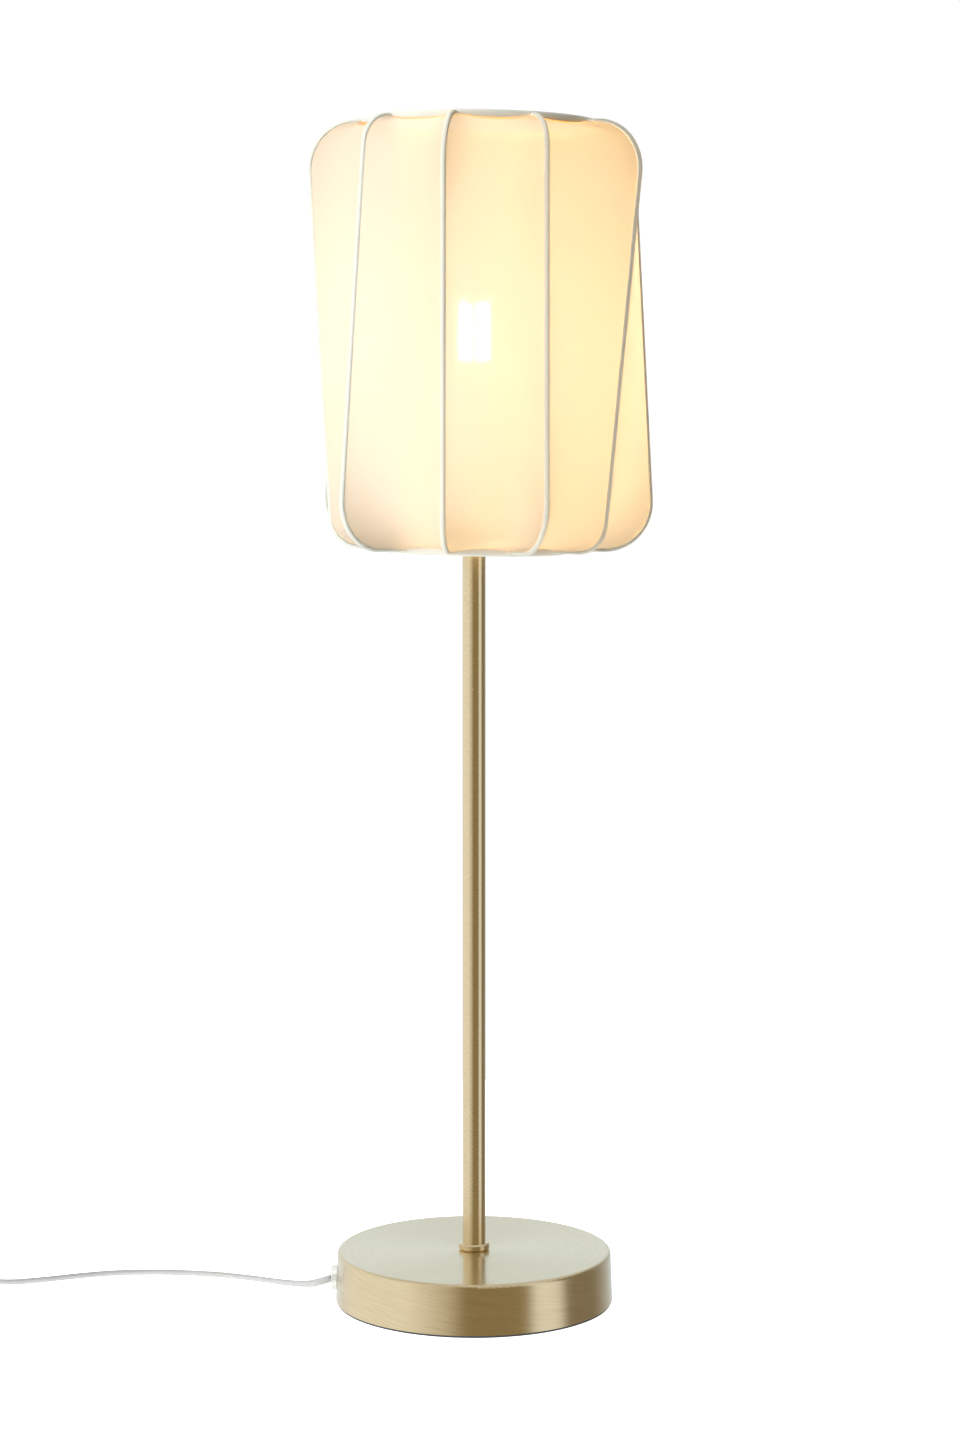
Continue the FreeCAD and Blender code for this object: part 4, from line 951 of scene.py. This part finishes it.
class LAMP_OT_bulb(Operator):
    """Finishes the bulb and lights it"""
    bl_idname = "lamp.bulb"
    bl_label = "Bulb"

    def execute(self, context):
        settings = context.scene.lamp_bulb
        glass = clear_finish("bulb_clear_glass", (0.99, 0.99, 0.98), film=0.02, rim=0.25, roughness=0.02,
                             passing=1.0)
        dress(glass, "bulb_glass")
        dress(plain_finish("cap_nickel", (0.72, 0.71, 0.68), 0.25, 1.0, 800.0), "bulb_cap", "bulb_cap_end")
        low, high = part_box("bulb_filaments")
        self.filaments(settings, low.z / MM, high.z / MM)
        self.wires(low.z / MM, high.z / MM)
        self.stem(low.z / MM, high.z / MM)
        self.lights(context, settings, (low + high) / 2)
        return {"FINISHED"}

    def filaments(self, settings, low, high):
        """Lit sticks between the wires."""
        bm = bmesh.new()
        for index in range(FILAMENT_COUNT):
            foot, top = filament_ends(index, low + FILAMENT_INSET, high - FILAMENT_INSET)
            rod(bm, foot, top, FILAMENT_RADIUS, 16, 0.4)
        lit = lit_finish("lit_filament", (1.0, 0.82, 0.55), settings.filament)
        filaments = make_piece(bm, "filament_sticks", lit, "bulb")
        filaments.visible_diffuse = False
        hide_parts("bulb_filaments")

    def wires(self, low, high):
        """Metal ends of the filaments, and the wires that hold them on the glass stem."""
        bm = bmesh.new()
        for index in range(FILAMENT_COUNT):
            foot, top = filament_ends(index, low, high)
            along = (top - foot).normalized()
            outer, inner = CLIP_OUTWARDS * along, CLIP_INWARDS * along
            rod(bm, foot - outer, foot + inner, CLIP_RADIUS, 10, 0.15)
            rod(bm, top - inner, top + outer, CLIP_RADIUS, 10, 0.15)
            press = Vector((PRESS_SHARE * foot.x, PRESS_SHARE * foot.y, low - PRESS_DROP))
            rod(bm, press, Vector((foot.x, foot.y, low - FOOT_WIRE_DROP)), FOOT_WIRE_RADIUS, 8)
            tip = Vector((0, 0, high + TIP_RISE))
            rod(bm, tip, Vector((top.x, top.y, high + TOP_WIRE_RISE)), TOP_WIRE_RADIUS, 8)
        bright = plain_finish("bright_wire", (0.80, 0.78, 0.74), 0.22, 1.0, 900.0)
        make_piece(bm, "filament_wires", bright, "bulb")

    def stem(self, low, high):
        """Glass stem that stands on the bulb's flare."""
        bm = bmesh.new()
        outline = [(radius, low + rise) for radius, rise in STEM_BELOW]
        outline += [(radius, high + rise) for radius, rise in STEM_ABOVE]
        turned(bm, outline, 36)
        glass = clear_finish("stem_glass", (0.99, 0.99, 0.98), film=0.04, rim=0.3, roughness=0.02,
                             passing=1.0)
        stem = make_piece(bm, "filament_stem", glass, "bulb")
        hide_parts("bulb_mount")

    def lights(self, context, settings, middle):
        """Light from the filaments' middle, and two side glows that reach only the cloth."""
        bulb = self.light(context, "bulb_light", "POINT", middle, settings.power).data
        bulb.shadow_soft_size = BULB_LIGHT_RADIUS
        bulb.use_nodes = True
        nodes = Nodes(bulb.node_tree)
        even = nodes.add("ShaderNodeLightFalloff", None, {"Strength": settings.even}, "Constant")
        glow = nodes.add("ShaderNodeEmission", None, {"Color": rgba(WHITE), "Strength": even})
        nodes.add("ShaderNodeOutputLight", None, {"Surface": glow})
        cloth = bpy.data.collections.new("lit_cloth")
        for piece in context.scene.objects:
            if piece.name.startswith(("shade_cloth", "rib_casing", "hem_")):
                cloth.objects.link(piece)
        for name, rise in SIDE_GLOWS:
            side = self.light(context, name, "AREA", middle + Vector((SIDE_GLOW_X, 0, rise)), settings.side)
            side.data.shape = "RECTANGLE"
            side.data.size, side.data.size_y = SIDE_GLOW_SIZE
            side.data.use_shadow = False
            side.light_linking.receiver_collection = cloth

    def light(self, context, name, kind, place, power):
        """Warm light that isn't seen itself, neither directly nor in gloss or glass."""
        light = bpy.data.lights.new(name, kind)
        light.energy = power
        light.color = context.scene.lamp_bulb.light
        lamp = bpy.data.objects.new(name, light)
        lamp.location = place
        lamp.rotation_euler = (math.pi / 2, 0, -math.pi / 2)
        lamp.visible_camera = False
        lamp.visible_glossy = False
        lamp.visible_transmission = False
        context.scene.collection.objects.link(lamp)
        return lamp


class LAMP_OT_stand(Operator):
    """Finishes the base, stem, bulb holder, switch and plug"""
    bl_idname = "lamp.stand"
    bl_label = "Stand"

    def execute(self, context):
        settings = context.scene.lamp_stand
        dress(brushed_brass("antique_brass", settings), "base_cover", "stem_collar", "stem_tube",
              "holder_cup")
        dress(plain_finish("zinc_steel", (0.62, 0.63, 0.64), 0.34, 1.0, 500.0), "base_bottom_plate",
              "base_screws", "stem_rod", "base_washer", "rod_nuts", "switch_screws")
        dress(plain_finish("rough_iron", (0.10, 0.10, 0.105), 0.75, 0.6, 260.0, 0.0004, 0.3), "base_weight")
        dress(plain_finish("foam_pad", (0.05, 0.06, 0.075), 0.9, 0.0, 1500.0, 0.0002, 0.3), "base_pad")
        dress(plain_finish("white_moulding", (0.80, 0.79, 0.75), 0.4, 0.0, 700.0), "holder_cap",
              "holder_skirt", "holder_core", "shade_ring_nut", "cord_clamp")
        dress(plain_finish("bright_brass", (0.86, 0.68, 0.32), 0.2, 1.0, 600.0), "holder_shell",
              "holder_contact", "holder_terminals", "switch_contacts")
        dress(plain_finish("pin_nickel", (0.72, 0.71, 0.68), 0.25, 1.0, 800.0), "plug_pins")
        clear = clear_finish("clear_moulding", (0.86, 0.87, 0.85), film=0.5, rim=0.9, roughness=0.1,
                             passing=0.2)
        dress(clear, "cord_grommet", "switch_base", "switch_cover", "switch_rocker", "plug_body")
        inner = clear_finish("inner_lead", (0.93, 0.93, 0.91), film=0.5, rim=0.8, roughness=0.12,
                             passing=0.0)
        dress(inner, "lead_inner")
        return {"FINISHED"}


class LAMP_PT_panel(Panel):
    bl_idname = "LAMP_PT_panel"
    bl_label = "Table Lamp"
    bl_space_type = "VIEW_3D"
    bl_region_type = "UI"
    bl_category = "Lamp"

    def draw(self, context):
        for title, group, operator in (
                ("Stage", "lamp_stage", "lamp.stage"), ("Lead", "lamp_lead", "lamp.lead"),
                ("Shade", "lamp_shade", "lamp.shade"), ("Bulb", "lamp_bulb", "lamp.bulb"),
                ("Stand", "lamp_stand", "lamp.stand")):
            box = self.layout.box()
            box.label(text=title)
            settings = getattr(context.scene, group)
            for name in settings.__annotations__:
                box.prop(settings, name)
            box.operator(operator)


GROUPS = {"lamp_stage": LampStageSettings, "lamp_lead": LampLeadSettings, "lamp_shade": LampShadeSettings,
          "lamp_bulb": LampBulbSettings, "lamp_stand": LampStandSettings}
OPERATORS = (LAMP_OT_stage, LAMP_OT_lead, LAMP_OT_shade, LAMP_OT_bulb, LAMP_OT_stand)


def register():
    for cls in (*GROUPS.values(), *OPERATORS, LAMP_PT_panel):
        bpy.utils.register_class(cls)
    for name, group in GROUPS.items():
        setattr(bpy.types.Scene, name, PointerProperty(type=group))


def unregister():
    for name in GROUPS:
        delattr(bpy.types.Scene, name)
    for cls in reversed((*GROUPS.values(), *OPERATORS, LAMP_PT_panel)):
        bpy.utils.unregister_class(cls)


def main():
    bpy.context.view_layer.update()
    register()
    bpy.ops.lamp.stage()
    bpy.ops.lamp.lead()
    bpy.ops.lamp.shade()
    bpy.ops.lamp.bulb()
    bpy.ops.lamp.stand()


if __name__ == "__main__":
    main()
